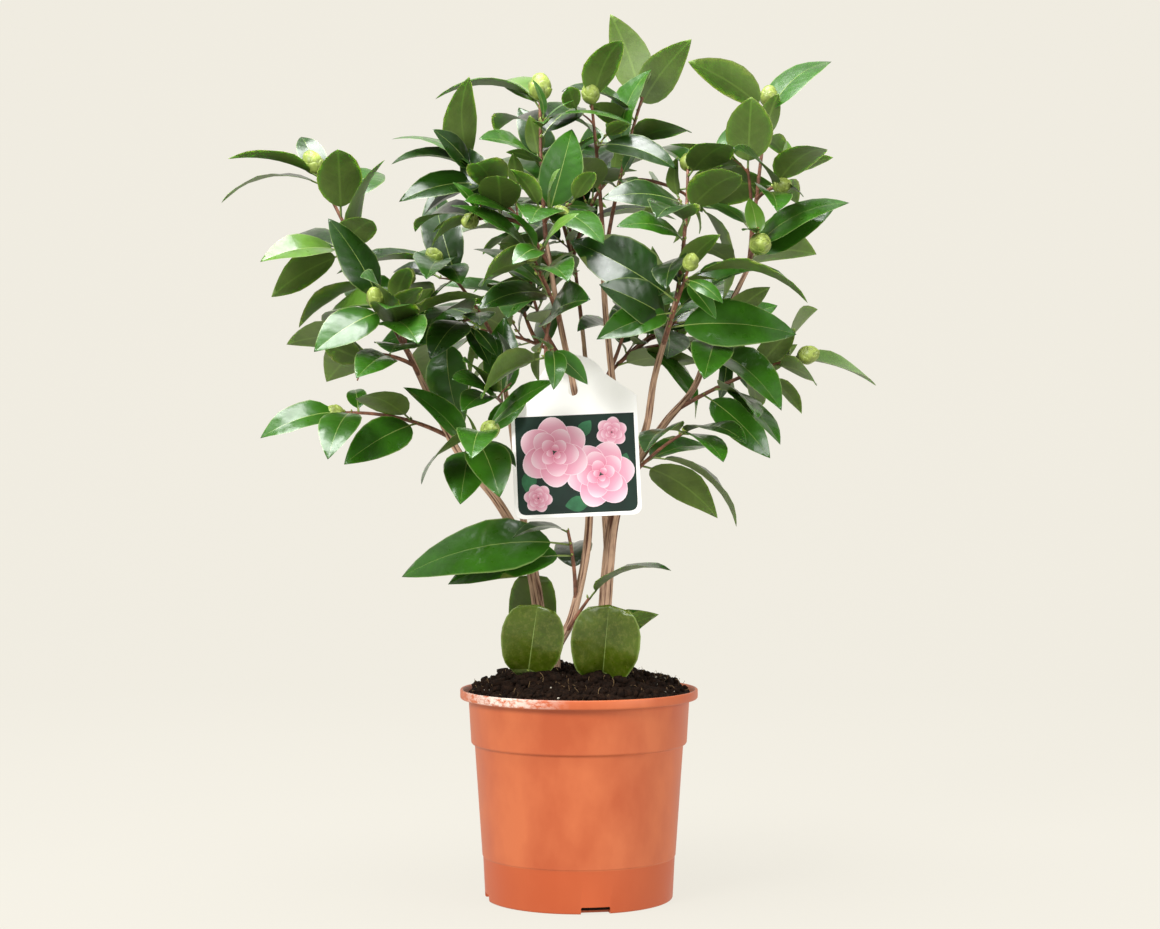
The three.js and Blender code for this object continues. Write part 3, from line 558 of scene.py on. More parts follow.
class Leaf:
    """A leaf from its base to its tip: its midrib is an arc, and it is folded a little along it."""

    buried = False
    width = SLENDER

    def __init__(self, base, tip, face, shape):
        chord = tip - base
        span = np.linalg.norm(chord)
        aim = chord / span
        self.arch, self.fold, breadth = shape
        half = self.arch / 2
        self.base = base
        self.tip = tip
        self.length = span * half / math.sin(half)
        self.half_width = self.length * breadth / 2
        self.side = unit(np.cross(aim, face))
        top = np.cross(self.side, aim)
        self.ahead = aim * math.cos(half) + top * math.sin(half)
        self.above = top * math.cos(half) - aim * math.sin(half)

    def midrib(self, shares):
        turned = self.arch * shares[:, None]
        forward = self.ahead * self.length * np.sin(turned) / self.arch
        return self.base + forward - self.above * self.length * (1 - np.cos(turned)) / self.arch

    def normals(self, shares):
        turned = self.arch * shares[:, None]
        return self.above * np.cos(turned) + self.ahead * np.sin(turned)


def leaf_shape(arch, breadth, dice):
    fold = math.radians(dice.between(VARIETY["fold"]))
    return math.radians(arch), fold, LEAF["breadth"] * breadth * dice.between(VARIETY["breadth"])


def aimed_tries(curve, row, sign, dice, breadth):
    """The ways in which a leaf measured from the front may grow. Its length tells its tip's depth."""
    share, x, z, turn = row[:4]
    length = row[4] if len(row) > 4 else AIMED["length"]
    base = curve.point(share)
    across = np.linalg.norm(seen_at(x, z, base[1]) - base)
    depth = base[1] + sign * math.sqrt(max(0, length**2 - across**2))
    face = np.array((0, -math.sin(math.radians(turn)), math.cos(math.radians(turn))))
    flatness = 1 - min(1, abs(turn) / AIMED["flat_at"])
    arch = VARIETY["arch"]
    bend = lerp(arch["face_on"], arch["flat"], flatness) + dice.either(arch["jitter"])
    shape = leaf_shape(bend, breadth, dice)
    for aside in AIMED["depths"]:
        yield Leaf(base, seen_at(x, z, depth + aside), face, shape)


def ruled_tries(curve, k, count, start, dice, breadth, size=1):
    """The ways in which leaf number k of a shoot may grow by the rule, round the shoot and out of it."""
    share = lerp(*VARIETY["shares"], (k / max(1, count - 1)) ** VARIETY["crowding"])
    directions = framing(curve, share)
    lean = VARIETY["spread"]
    spread = math.radians(lerp(lean["low"], lean["high"], share) + dice.either(lean["jitter"]))
    turn = start + k * GOLDEN_TURN + math.radians(dice.either(VARIETY["azimuth_jitter"]))
    droop = dice.between(VARIETY["droop"])
    span = LEAF["length"] * size * dice.between(VARIETY["span"])
    roll = dice.between(VARIETY["roll"])
    shape = leaf_shape(dice.between(VARIETY["arch"]["ruled"]), breadth, dice)
    base = curve.point(share)
    for aside in TURNS:
        aim = unit(leaning(directions, spread, turn + aside) - UP * droop)
        face = directions[0] + UP + np.cross(aim, UP) * roll
        yield Leaf(base, base + aim * span, face, shape)


class Shoot:
    """A shoot's curve, with the leaves that it asks for and those that have grown."""

    def __init__(self, curve, seed, radii=SHOOT["radii"], near=(), far=(), leaves=0, breadth=1, bud=0):
        self.curve = curve
        self.seed = seed
        self.radii = radii
        self.near = near
        self.far = far
        self.leaves = leaves
        self.breadth = breadth
        self.bud = bud


def grow_twigs(stem, mass_seed, count):
    """The twigs that the rule lets spring from a mass's stem."""
    base, end = stem.curve.point(0), stem.curve.point(1)
    for k in range(count):
        dice = Dice(mass_seed + SEED["twig"] + k)
        share = lerp(*TWIG["shares"], (k + 0.5) / count)
        turn = k * GOLDEN_TURN + dice.between((0, 2 * math.pi))
        spread = math.radians(dice.between(TWIG["spread"]))
        heading = unit(leaning(framing(stem.curve, share), spread, turn) + UP * TWIG["lift"])
        reach = np.linalg.norm(end - base) * dice.between(TWIG["reach"])
        tip = stem.curve.point(share) + heading * reach
        yield ShootCurve(stem.curve, share, tip)


def grow_shoots(spec, mass_seed, limb_curves):
    """The shoots of a mass: first those that are named, then the twigs by the rule."""
    shoots = []
    for wanted in spec["shoots"]:
        asked = dict(wanted)
        tip = np.array(asked.pop("tip"), float)
        parent, share = asked.pop("out_of", None), asked.pop("share", None)
        if parent is None:
            curve = ShootCurve(limb_curves[spec["on"]], spec["at"], tip)
        else:
            curve = ShootCurve(shoots[parent].curve, share, tip)
        shoots.append(Shoot(curve, mass_seed + len(shoots) * SEED["shoot"], **asked))
    for curve in grow_twigs(shoots[0], mass_seed, spec.get("twigs", 0)):
        seed = mass_seed + len(shoots) * SEED["shoot"]
        shoots.append(Shoot(curve, seed, leaves=shoots[0].leaves - 1))
    return shoots


class Corners:
    """The corners of a CAD node, to ask whether the node holds a leaf with its tip at a place."""

    def __init__(self, name):
        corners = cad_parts[name].data.vertices
        self.tree = KDTree(len(corners))
        for i, corner in enumerate(corners):
            self.tree.insert(corner.co / MM, i)
        self.tree.balance()

    def hold(self, leaf):
        return self.tree.find(Vector(leaf.tip))[2] < SAME_PLACE


def grow_mass(name, m, limb_curves):
    """The shoots of a mass and those leaves that its CAD solid holds."""
    spec = FOLIAGE[name]
    shoots = grow_shoots(spec, m * SEED["mass"], limb_curves)
    corners = Corners(name)
    leaves = []

    def keep(tries, near=False):
        leaf = next((leaf for leaf in tries if corners.hold(leaf)), None)
        if leaf is None:
            return
        if name in BURIED_WIDTHS:
            leaf.buried = near
            leaf.width = BURIED_WIDTHS[name][0 if near else 1]
        leaves.append(leaf)

    for shoot in shoots:
        for k, row in enumerate([*shoot.near, *shoot.far]):
            near = k < len(shoot.near)
            tries = aimed_tries(shoot.curve, row, -1 if near else 1, Dice(shoot.seed + k), shoot.breadth)
            keep(tries, near)
        ruled = shoot.seed + SEED["ruled_leaf"]
        start = Dice(ruled).between((0, 2 * math.pi))
        for k in range(shoot.leaves):
            dice = Dice(ruled + 1 + k)
            keep(ruled_tries(shoot.curve, k, shoot.leaves, start, dice, shoot.breadth))
    return shoots, leaves


# Settings and inputs that many nodes share. A node that mixes colours takes its two at these inputs.
MULTIPLY = {"operation": "MULTIPLY"}
MIX_COLOURS = {"data_type": "RGBA"}
FIRST, SECOND = 6, 7


def add_node(tree, kind, settings=None, inputs=None):
    """Adds a node with its settings. An input is a plain value, another node's output, or another node,
    which stands for its first output in use."""
    node = tree.nodes.new(kind)
    for name, value in (settings or {}).items():
        setattr(node, name, value)
    for name, value in (inputs or {}).items():
        if isinstance(value, bpy.types.Node):
            value = next(output for output in value.outputs if output.enabled)
        if isinstance(value, bpy.types.NodeSocket):
            tree.links.new(value, node.inputs[name])
        else:
            node.inputs[name].default_value = value
    return node


def start_finish(name, attribute=None):
    """A new material, its tree of nodes, and the place to draw it by: on the object, or an attribute."""
    finish = bpy.data.materials.new(name)
    finish.use_nodes = True
    tree = finish.node_tree
    tree.nodes.clear()
    if attribute is None:
        return finish, tree, add_node(tree, "ShaderNodeTexCoord").outputs["Object"]
    place = add_node(tree, "ShaderNodeAttribute", {"attribute_name": attribute})
    return finish, tree, place.outputs["Vector"]


def end_finish(finish, inputs):
    """Ends a material in its shader, which takes these inputs."""
    shader = add_node(finish.node_tree, "ShaderNodeBsdfPrincipled", inputs=inputs)
    add_node(finish.node_tree, "ShaderNodeOutputMaterial", inputs={"Surface": shader})
    return finish


def shaded(colour, factor):
    """A colour made darker or lighter by a factor, with its fourth channel at 1."""
    return (*[min(1.0, channel * factor) for channel in colour[:3]], 1.0)


def patches(tree, place, size, ends, detail=3, roughness=0.55, most=1):
    """Soft patches about this many millimetres across: nought where their noise lies below the first
    end, and the most where it lies above the second."""
    inputs = {"Vector": place, "Scale": 1 / (size * MM), "Detail": detail, "Roughness": roughness}
    noise = add_node(tree, "ShaderNodeTexNoise", inputs=inputs)
    inputs = {"Value": noise, "From Min": ends[0], "From Max": ends[1], "To Max": most}
    return add_node(tree, "ShaderNodeMapRange", inputs=inputs)


def clouded(tree, place, size, ends, colour, shades, detail=3):
    """A colour in soft patches of a darker and a paler shade, which are given as factors."""
    low, high = [shaded(colour, shade) for shade in shades]
    inputs = {"Factor": patches(tree, place, size, ends, detail), FIRST: low, SECOND: high}
    return add_node(tree, "ShaderNodeMix", MIX_COLOURS, inputs)


def marked(tree, colour, mark, value, ends, shares=(0, 1)):
    """A colour that takes on a mark's, from one share of it to another as a value runs between its ends."""
    run = {"From Min": ends[0], "From Max": ends[1], "To Min": shares[0], "To Max": shares[1]}
    share = add_node(tree, "ShaderNodeMapRange", inputs={"Value": value, **run})
    return add_node(tree, "ShaderNodeMix", MIX_COLOURS, {"Factor": share, FIRST: colour, SECOND: mark})


def grain(tree, place, size, depth, detail=3, roughness=0.55):
    """The normal of a surface whose grain is this wide and this deep in millimetres."""
    inputs = {"Vector": place, "Scale": 1 / (size * MM), "Detail": detail, "Roughness": roughness}
    noise = add_node(tree, "ShaderNodeTexNoise", inputs=inputs)
    return add_node(tree, "ShaderNodeBump", inputs={"Height": noise, "Distance": depth * MM})


# The pot's scuffs lie on its lip, close round this place: all within the first distance, none beyond
# the second.
SCUFFS = {"place": (-62, -72, 167), "within": 14, "beyond": 60}


# Polypropylene, injection moulded: an even satin with faint clouds, scuffs on the lip at the left front,
# and painted shade on the lower band, which leans in under the foot line.
def moulded_polypropylene(colour):
    finish, tree, place = start_finish("moulded_polypropylene_terracotta")
    height = add_node(tree, "ShaderNodeSeparateXYZ", inputs={"Vector": place}).outputs["Z"]
    tall = add_node(tree, "ShaderNodeVectorMath", MULTIPLY, {0: place, 1: (1, 1, 0.6)})
    cloud = patches(tree, tall, 38, (0.36, 0.66), 5, 0.5)
    tones = {"Factor": cloud, FIRST: shaded(colour, 0.88), SECOND: linear("#c6683c")}
    body = add_node(tree, "ShaderNodeMix", MIX_COLOURS, tones)
    foot_z = POT["foot_line"]["z"] * MM
    # Below the foot line the colour turns darker towards #b64e21: painted shade.
    body = marked(tree, body, linear("#b64e21"), height, (foot_z - MM, foot_z), (0.75, 0.0))
    middle = [part * MM for part in SCUFFS["place"]]
    away = add_node(tree, "ShaderNodeVectorMath", {"operation": "DISTANCE"}, {0: place, 1: middle})
    near = {"Value": away, "From Min": SCUFFS["within"] * MM, "From Max": SCUFFS["beyond"] * MM}
    scuff = add_node(tree, "ShaderNodeMapRange", inputs={**near, "To Min": 1.0, "To Max": 0.0})
    flat = add_node(tree, "ShaderNodeVectorMath", MULTIPLY, {0: place, 1: (1, 1, 2)})
    streaks = patches(tree, flat, 7, (0.42, 0.56), 6, 0.72)
    lip_foot = (POT["height"] - POT["lip_height"]) * MM
    lip = {"Value": height, "From Min": lip_foot, "From Max": lip_foot + MM}
    for share in (streaks, add_node(tree, "ShaderNodeMapRange", inputs=lip)):
        scuff = add_node(tree, "ShaderNodeMath", MULTIPLY, {0: scuff, 1: share})
    tones = {"Factor": scuff, FIRST: body, SECOND: linear("#e2d0c4")}
    return end_finish(
        finish,
        {
            "Base Color": add_node(tree, "ShaderNodeMix", MIX_COLOURS, tones),
            "Roughness": add_node(
                tree, "ShaderNodeMapRange", inputs={"Value": cloud, "To Min": 0.4, "To Max": 0.52}
            ),
            # The grain of the mould is too fine to show, and is drawn about 0.8 mm across.
            "Normal": grain(tree, place, 0.8, 0.02, 2),
            "IOR": 1.49,
        },
    )


# Potting soil, a moist mix of peat and bark: nearly black with brown crumbs and no gloss.
def moist_potting_soil(colour):
    finish, tree, place = start_finish("moist_peat_and_bark_soil")
    inputs = {"Vector": place, "Scale": 1 / (4 * MM), "Detail": 5, "Roughness": 0.7}
    lumps = add_node(tree, "ShaderNodeTexNoise", inputs=inputs)
    dryness = {"Value": lumps, "From Min": 0.3, "From Max": 0.7, "To Min": 0.75, "To Max": 0.95}
    return end_finish(
        finish,
        {
            "Base Color": marked(tree, shaded(colour, 0.45), shaded(colour, 2.1), lumps, (0.38, 0.68)),
            "Normal": grain(tree, place, 1.6, 0.9, 5, 0.75),
            "Roughness": add_node(tree, "ShaderNodeMapRange", inputs=dryness),
            "Specular IOR Level": 0.1,
        },
    )


# Perlite and root fibres in the soil: dusty and pale, so that they catch the eye as small specks.
def dusty_fleck(name, hex_colour):
    finish, tree, place = start_finish(name)
    inputs = {"Vector": place, "Scale": 1 / (2 * MM), "Detail": 3, "Roughness": 0.55}
    dust = add_node(tree, "ShaderNodeTexNoise", inputs=inputs)
    colour = linear(hex_colour)
    tones = {"Factor": dust, FIRST: shaded(colour, 0.6), SECOND: colour}
    colours = add_node(tree, "ShaderNodeMix", MIX_COLOURS, tones)
    return end_finish(finish, {"Base Color": colours, "Roughness": 0.9})


# Camellia bark on older wood: dry, tan, with long narrow fissures that show its red-brown depth.
def fissured_bark(ridge, fissure):
    finish, tree, place = start_finish("fissured_camellia_bark", "bark_place")
    lengthways = add_node(tree, "ShaderNodeVectorMath", MULTIPLY, {0: place, 1: (1, 1, 0.06)})
    inputs = {"Vector": lengthways, "Scale": 1 / (1.7 * MM), "Detail": 4, "Roughness": 0.5}
    cracks = add_node(tree, "ShaderNodeTexNoise", inputs=inputs)
    tan = clouded(tree, place, 16, (0.3, 0.7), ridge, (0.72, 1.12))
    depth = {"Height": cracks, "Distance": 0.5 * MM}
    return end_finish(
        finish,
        {
            "Base Color": marked(tree, shaded(fissure, 1), tan, cracks, (0.36, 0.52)),
            "Normal": add_node(tree, "ShaderNodeBump", inputs=depth),
            "Roughness": 0.82,
        },
    )


# Young twig bark: thin, satin and red-brown, with paler flecks where it stretches.
def young_twig_bark(colour):
    finish, tree, place = start_finish("satin_young_twig_bark")
    return end_finish(
        finish,
        {
            "Base Color": clouded(tree, place, 5, (0.42, 0.66), colour, (0.62, 1.35), 4),
            "Normal": grain(tree, place, 1, 0.15),
            "Roughness": 0.55,
        },
    )


def lit_through(weight):
    """Inputs that let some of the light on a thin leaf come out on its other side, greener."""
    return {
        "Subsurface Weight": weight,
        "Subsurface Radius": (0.5, 1.0, 0.15),
        "Subsurface Scale": 2.5 * MM,
    }


# Side veins leave the midrib this many millimetres apart, and run forwards by this part of the way out.
VEINS = {"apart": 9, "forward": 0.7}


def veins(tree):
    """Four things to draw on a leaf by: the place on it, how far that lies out from the midrib, its
    share of the way to the margin as a part of a millimetre, and a wave that crests on the side veins."""
    place = add_node(tree, "ShaderNodeAttribute", {"attribute_name": "leaf_place"}).outputs["Vector"]
    parts = add_node(tree, "ShaderNodeSeparateXYZ", inputs={"Vector": place})
    outward = add_node(tree, "ShaderNodeMath", {"operation": "ABSOLUTE"}, {0: parts.outputs["X"]})
    slant = {0: outward, 1: -VEINS["forward"], 2: parts.outputs["Y"]}
    slanted = add_node(tree, "ShaderNodeMath", {"operation": "MULTIPLY_ADD"}, slant)
    turns = add_node(tree, "ShaderNodeMath", MULTIPLY, {0: slanted, 1: math.tau / (VEINS["apart"] * MM)})
    wave = add_node(tree, "ShaderNodeMath", {"operation": "COSINE"}, {0: turns})
    return place, outward, parts.outputs["Z"], wave


# A camellia leaf's upper face: waxed and leathery, so it mirrors the lights softly, with side veins
# that dent the gloss. Its colour is plain but for slow clouds. A leaf by the soil has pale blotches
# where earth has dried on it, and less wax.
def waxed_leaf_face(name, colour, blotches=0.0):
    finish, tree, around = start_finish(name)
    face = clouded(tree, around, 22, (0.3, 0.7), colour, (0.75, 1.2))
    place, _, margin, wave = veins(tree)
    face = marked(tree, face, linear("#8aa05c"), margin, (0.93 * MM, 0.99 * MM), (0.0, 0.55))
    if blotches:
        earth = patches(tree, place, 5, (0.48, 0.62), 6, 0.75, blotches)
        tones = {"Factor": earth, FIRST: face, SECOND: linear("#69702f")}
        face = add_node(tree, "ShaderNodeMix", MIX_COLOURS, tones)
    inputs = {"Vector": place, "Scale": 1 / (8 * MM), "Detail": 2, "Roughness": 0.55}
    uneven = add_node(tree, "ShaderNodeTexNoise", inputs=inputs)
    height = add_node(tree, "ShaderNodeMath", {"operation": "MULTIPLY_ADD"}, {0: wave, 1: -0.14, 2: uneven})
    depth = {"Height": height, "Distance": 0.35 * MM}
    dullness = {"Value": uneven, "From Min": 0.3, "From Max": 0.7, "To Min": 0.26, "To Max": 0.42}
    return end_finish(
        finish,
        {
            "Base Color": face,
            "Normal": add_node(tree, "ShaderNodeBump", inputs=depth),
            "Roughness": add_node(tree, "ShaderNodeMapRange", inputs=dullness),
            "IOR": 1.5,
            "Specular IOR Level": 0.35,
            "Coat Weight": 0.15 if blotches else 0.5,
            "Coat Roughness": 0.16,
            **lit_through(0.08),
        },
    )


# A camellia leaf's underside: without wax, dull and yellow-green, with its veins and midrib paler.
def dull_leaf_face(name, colour):
    finish, tree, place = start_finish(name)
    face = clouded(tree, place, 18, (0.3, 0.7), colour, (0.82, 1.18))
    _, outward, _, wave = veins(tree)
    face = marked(tree, face, shaded(colour, 1.6), wave, (0.5, 1.0), (0.0, 0.1))
    face = marked(tree, face, shaded(colour, 1.8), outward, (0.4 * MM, 1.2 * MM), (0.5, 0.0))
    return end_finish(
        finish,
        {
            "Base Color": face,
            "Normal": grain(tree, place, 3, 0.2),
            "Roughness": 0.5,
            "Specular IOR Level": 0.35,
            **lit_through(0.15),
        },
    )


# Flower bud scales: smooth, waxy and yellow-green, in soft clouds.
def waxy_bud_scale(colour):
    finish, tree, place = start_finish("waxy_flower_bud_scale")
    colours = clouded(tree, place, 7, (0.35, 0.65), colour, (0.62, 1.25))
    return end_finish(finish, {"Base Color": colours, "Roughness": 0.42})


def end_coated(finish, place, colours):
    """Ends the material of a coated print: slightly glossy, with a trace of waviness in the gloss."""
    normal = grain(finish.node_tree, place, 9, 0.06, 2)
    return end_finish(finish, {"Base Color": colours, "Normal": normal, "Roughness": 0.38})


# Coated card with plain print on it, which varies a little in patches of this size in millimetres.
def coated_print(name, colour, variation, size):
    finish, tree, place = start_finish(name)
    shades = (1 - variation, 1 + variation)
    return end_coated(finish, place, clouded(tree, place, size, (0.3, 0.7), colour, shades, 4))


# The printed petals: coated like the card, deep pink at their foot and nearly white at their edge.
def printed_petals(colour):
    finish, tree, place = start_finish("printed_soft_pink_petals")
    tone = add_node(tree, "ShaderNodeAttribute", {"attribute_name": "petal_tone"}).outputs["Fac"]
    foot = marked(tree, linear("#d0607f"), shaded(colour, 1), tone, (0.1, 0.6))
    return end_coated(finish, place, marked(tree, foot, linear("#f6e4ea"), tone, (0.62, 1.0)))


class Corpus:
    """Corners and faces collected for one joined mesh, with a finish for each face."""

    def __init__(self):
        self.corners = []
        self.faces = []
        self.finishes = []
        self.places = []
        self.sharp = []

    def add(self, corners, faces, finishes, places, sharp):
        start = len(self.corners)
        self.corners.extend(corners)
        self.faces.extend([tuple(start + corner for corner in face) for face in faces])
        self.finishes.extend(finishes)
        self.places.extend(places)
        self.sharp.extend(sharp)

    def mesh(self, name, finishes):
        mesh = bpy.data.meshes.new(name)
        mesh.from_pydata([tuple(corner) for corner in np.array(self.corners) * MM], [], self.faces)
        for finish in finishes:
            mesh.materials.append(finish)
        mesh.polygons.foreach_set("material_index", self.finishes)
        mesh.shade_smooth()
        place = mesh.attributes.new("leaf_place", "FLOAT_VECTOR", "POINT")
        place.data.foreach_set("vector", (np.array(self.places) * MM).ravel())
        ends = np.empty(2 * len(mesh.edges), int)
        mesh.edges.foreach_get("vertices", ends)
        side = np.array(self.sharp)[ends.reshape(-1, 2)]
        crease = mesh.attributes.new("sharp_edge", "BOOLEAN", "EDGE")
        crease.data.foreach_set("value", (side[:, 0] == side[:, 1]) & (side[:, 0] > 0))
        mesh.update()
        return mesh


def new_piece(name, mesh):
    """A new object in the scene."""
    piece = bpy.data.objects.new(name, mesh)
    bpy.context.scene.collection.objects.link(piece)
    return piece


def settle(piece, slot, *nodes):
    """Hangs a finished piece on the root body and hides the CAD nodes that it stands for. The slot is not
    used.
    """
    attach(piece, "root")
    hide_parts(*nodes)


def plain_mesh(carrier):
    """The evaluated mesh of an object, which is then taken away."""
    depsgraph = bpy.context.evaluated_depsgraph_get()
    mesh = bpy.data.meshes.new_from_object(
        carrier.evaluated_get(depsgraph), preserve_all_data_layers=True, depsgraph=depsgraph
    )
    bpy.data.objects.remove(carrier)
    return mesh


# Kinds of value that a node may read.
FLOATS = {"data_type": "FLOAT"}
VECTORS = {"data_type": "FLOAT_VECTOR"}


def start_tree(name, sockets):
    """A new tree of geometry nodes with its geometry and these named inputs."""
    tree = bpy.data.node_groups.new(name, "GeometryNodeTree")
    tree.interface.new_socket("Geometry", in_out="OUTPUT", socket_type="NodeSocketGeometry")
    for socket, kind in {"Geometry": "NodeSocketGeometry", **sockets}.items():
        tree.interface.new_socket(socket, in_out="INPUT", socket_type=kind)
    return tree, add_node(tree, "NodeGroupInput")


def finish_tree(tree, geometry, finish):
    """Ends a tree with what it made, all of it plain mesh with this finish."""
    realized = add_node(tree, "GeometryNodeRealizeInstances", inputs={"Geometry": geometry})
    dressed = add_node(tree, "GeometryNodeSetMaterial", inputs={"Geometry": realized, "Material": finish})
    add_node(tree, "NodeGroupOutput", inputs={"Geometry": dressed})
    return tree


def raised_tree(tree, geometry, offset, finish):
    """Ends a tree with a surface that is moved by an offset and shaded smoothly."""
    raised = add_node(tree, "GeometryNodeSetPosition", inputs={"Geometry": geometry, "Offset": offset})
    smooth = add_node(tree, "GeometryNodeSetShadeSmooth", inputs={"Geometry": raised})
    return finish_tree(tree, smooth, finish)


def copied_tree(tree, given, points, rotation, size):
    """Ends a tree with copies of the object that it is given, at points."""
    shape = add_node(tree, "GeometryNodeObjectInfo", inputs={"Object": given.outputs["Copy"]})
    inputs = {"Points": points, "Instance": shape.outputs["Geometry"], "Rotation": rotation}
    copies = add_node(tree, "GeometryNodeInstanceOnPoints", inputs={**inputs, "Scale": size})
    return finish_tree(tree, copies, given.outputs["Finish"])


def unevenness(tree, width, middle, noise):
    """How far a pattern about this wide rises from its middle, from a noise with these other inputs."""
    scale = add_node(tree, "ShaderNodeMath", {"operation": "DIVIDE"}, {0: 1.0, 1: width})
    pattern = add_node(tree, "ShaderNodeTexNoise", inputs={"Scale": scale, **noise})
    return add_node(tree, "ShaderNodeMath", {"operation": "SUBTRACT"}, {0: pattern, 1: middle})


def measured_curve(tree, curve, measure):
    """A curve that keeps a measure of how far along it each of its points lies."""
    kept = add_node(tree, "GeometryNodeCaptureAttribute", inputs={"Geometry": curve})
    kept.capture_items.new("FLOAT", measure)
    along = add_node(tree, "GeometryNodeSplineParameter")
    tree.links.new(along.outputs[measure], kept.inputs[measure])
    return kept


def run_tree(name, mesh, tree, inputs):
    """A plain mesh made by a tree of geometry nodes from a carrier mesh and the tree's inputs."""
    carrier = new_piece(name + "_carrier", mesh)
    modifier = carrier.modifiers.new(tree.name, "NODES")
    modifier.node_group = tree
    for item in tree.interface.items_tree:
        if item.item_type == "SOCKET" and item.in_out == "INPUT" and item.name in inputs:
            modifier[item.identifier] = inputs[item.name]
    made = plain_mesh(carrier)
    made.name = name
    return made


def path_mesh(name, paths):
    """A mesh of open paths, each a list of (place in millimetres, radius in millimetres)."""
    mesh = bpy.data.meshes.new(name)
    places, radii, edges = [], [], []
    for path in paths:
        start = len(places)
        places.extend(tuple(place * MM) for place, _ in path)
        radii.extend(radius * MM for _, radius in path)
        edges.extend((i, i + 1) for i in range(start, len(places) - 1))
    mesh.from_pydata(places, edges, [])
    mesh.attributes.new("limb_radius", "FLOAT", "POINT").data.foreach_set("value", radii)
    return mesh


def limb_tree():
    """Round tapering limbs along paths, with bark that stands out along them."""
    sockets = {
        "Sides": "NodeSocketInt",
        "Relief": "NodeSocketFloat",
        "Crack width": "NodeSocketFloat",
        "Finish": "NodeSocketMaterial",
    }
    tree, given = start_tree("Tapering limbs", sockets)
    radius = add_node(tree, "GeometryNodeInputNamedAttribute", FLOATS, {"Name": "limb_radius"})
    curve = add_node(tree, "GeometryNodeMeshToCurve", inputs={"Mesh": given.outputs["Geometry"]})
    run = measured_curve(tree, curve, "Length")
    sized = add_node(tree, "GeometryNodeSetCurveRadius", inputs={"Curve": run, "Radius": radius})
    inputs = {"Resolution": given.outputs["Sides"], "Radius": 1.0}
    ring = measured_curve(tree, add_node(tree, "GeometryNodeCurvePrimitiveCircle", inputs=inputs), "Factor")
    inputs = {"Curve": sized, "Profile Curve": ring, "Scale": radius, "Fill Caps": True}
    tube = add_node(tree, "GeometryNodeCurveToMesh", inputs=inputs)

    # The bark's place runs round the limb at its radius, and along it.
    angle = add_node(tree, "ShaderNodeMath", MULTIPLY, {0: ring.outputs["Factor"], 1: math.tau})
    parts = {"Z": run.outputs["Length"]}
    for axis, wave in (("X", "COSINE"), ("Y", "SINE")):
        aside = add_node(tree, "ShaderNodeMath", {"operation": wave}, {0: angle})
        parts[axis] = add_node(tree, "ShaderNodeMath", MULTIPLY, {0: aside, 1: radius})
    place = add_node(tree, "ShaderNodeCombineXYZ", inputs=parts)
    kept = add_node(
        tree,
        "GeometryNodeStoreNamedAttribute",
        {**VECTORS, "domain": "POINT"},
        {"Geometry": tube, "Name": "bark_place", "Value": place},
    )
    lengthways = add_node(tree, "ShaderNodeVectorMath", MULTIPLY, {0: place, 1: (1, 1, 0.07)})
    rise = unevenness(tree, given.outputs["Crack width"], 0.5, {"Vector": lengthways, "Detail": 3.0})
    height = add_node(tree, "ShaderNodeMath", MULTIPLY, {0: rise, 1: given.outputs["Relief"]})
    normal = add_node(tree, "GeometryNodeInputNormal")
    offset = add_node(tree, "ShaderNodeVectorMath", {"operation": "SCALE"}, {0: normal, "Scale": height})
    return raised_tree(tree, kept, offset, given.outputs["Finish"])


def copies_tree():
    """Copies of an object at points, each turned and sized by the point's own attributes."""
    sockets = {"Copy": "NodeSocketObject", "Finish": "NodeSocketMaterial"}
    tree, given = start_tree("Placed copies", sockets)
    heading = add_node(tree, "GeometryNodeInputNamedAttribute", VECTORS, {"Name": "heading"})
    size = add_node(tree, "GeometryNodeInputNamedAttribute", FLOATS, {"Name": "size"})
    aligned = add_node(tree, "FunctionNodeAlignRotationToVector", {"axis": "Z"}, {"Vector": heading})
    return copied_tree(tree, given, given.outputs["Geometry"], aligned, size)


def scatter_tree():
    """Copies of an object scattered over a surface, each at a random turn and size."""
    sockets = {
        "Copy": "NodeSocketObject",
        "Density": "NodeSocketFloat",
        "Least size": "NodeSocketFloat",
        "Greatest size": "NodeSocketFloat",
        "Seed": "NodeSocketInt",
        "Finish": "NodeSocketMaterial",
    }
    tree, given = start_tree("Scattered copies", sockets)
    seed = given.outputs["Seed"]
    inputs = {"Mesh": given.outputs["Geometry"], "Density": given.outputs["Density"], "Seed": seed}
    points = add_node(tree, "GeometryNodeDistributePointsOnFaces", inputs=inputs)
    inputs = {0: (0, 0, 0), 1: (math.tau, math.tau, math.tau), "Seed": seed}
    turn = add_node(tree, "FunctionNodeRandomValue", VECTORS, inputs)
    rotation = add_node(tree, "FunctionNodeEulerToRotation", inputs={0: turn})
    inputs = {2: given.outputs["Least size"], 3: given.outputs["Greatest size"], "Seed": seed}
    size = add_node(tree, "FunctionNodeRandomValue", FLOATS, inputs)
    return copied_tree(tree, given, points, rotation, size)


def turned_body(name, outline, segments):
    """A closed mesh turned round the pot's axis, from (radius, height) places, bottom to top outside."""
    mesh = bpy.data.meshes.new(name)
    corners, faces, rings = [], [], []
    for radius, height in outline:
        if radius == 0:
            rings.append([len(corners)] * segments)
            corners.append((0, 0, height * MM))
            continue
        rings.append([len(corners) + i for i in range(segments)])
        for i in range(segments):
            turn = math.tau * i / segments
            corners.append((radius * MM * math.cos(turn), radius * MM * math.sin(turn), height * MM))
    for lower, upper in zip(rings, rings[1:]):
        for i in range(segments):
            after = (i + 1) % segments
            face = [lower[i], lower[after], upper[after], upper[i]]
            faces.append(tuple(dict.fromkeys(face)))
    mesh.from_pydata(corners, [], faces)
    mesh.update()
    return mesh


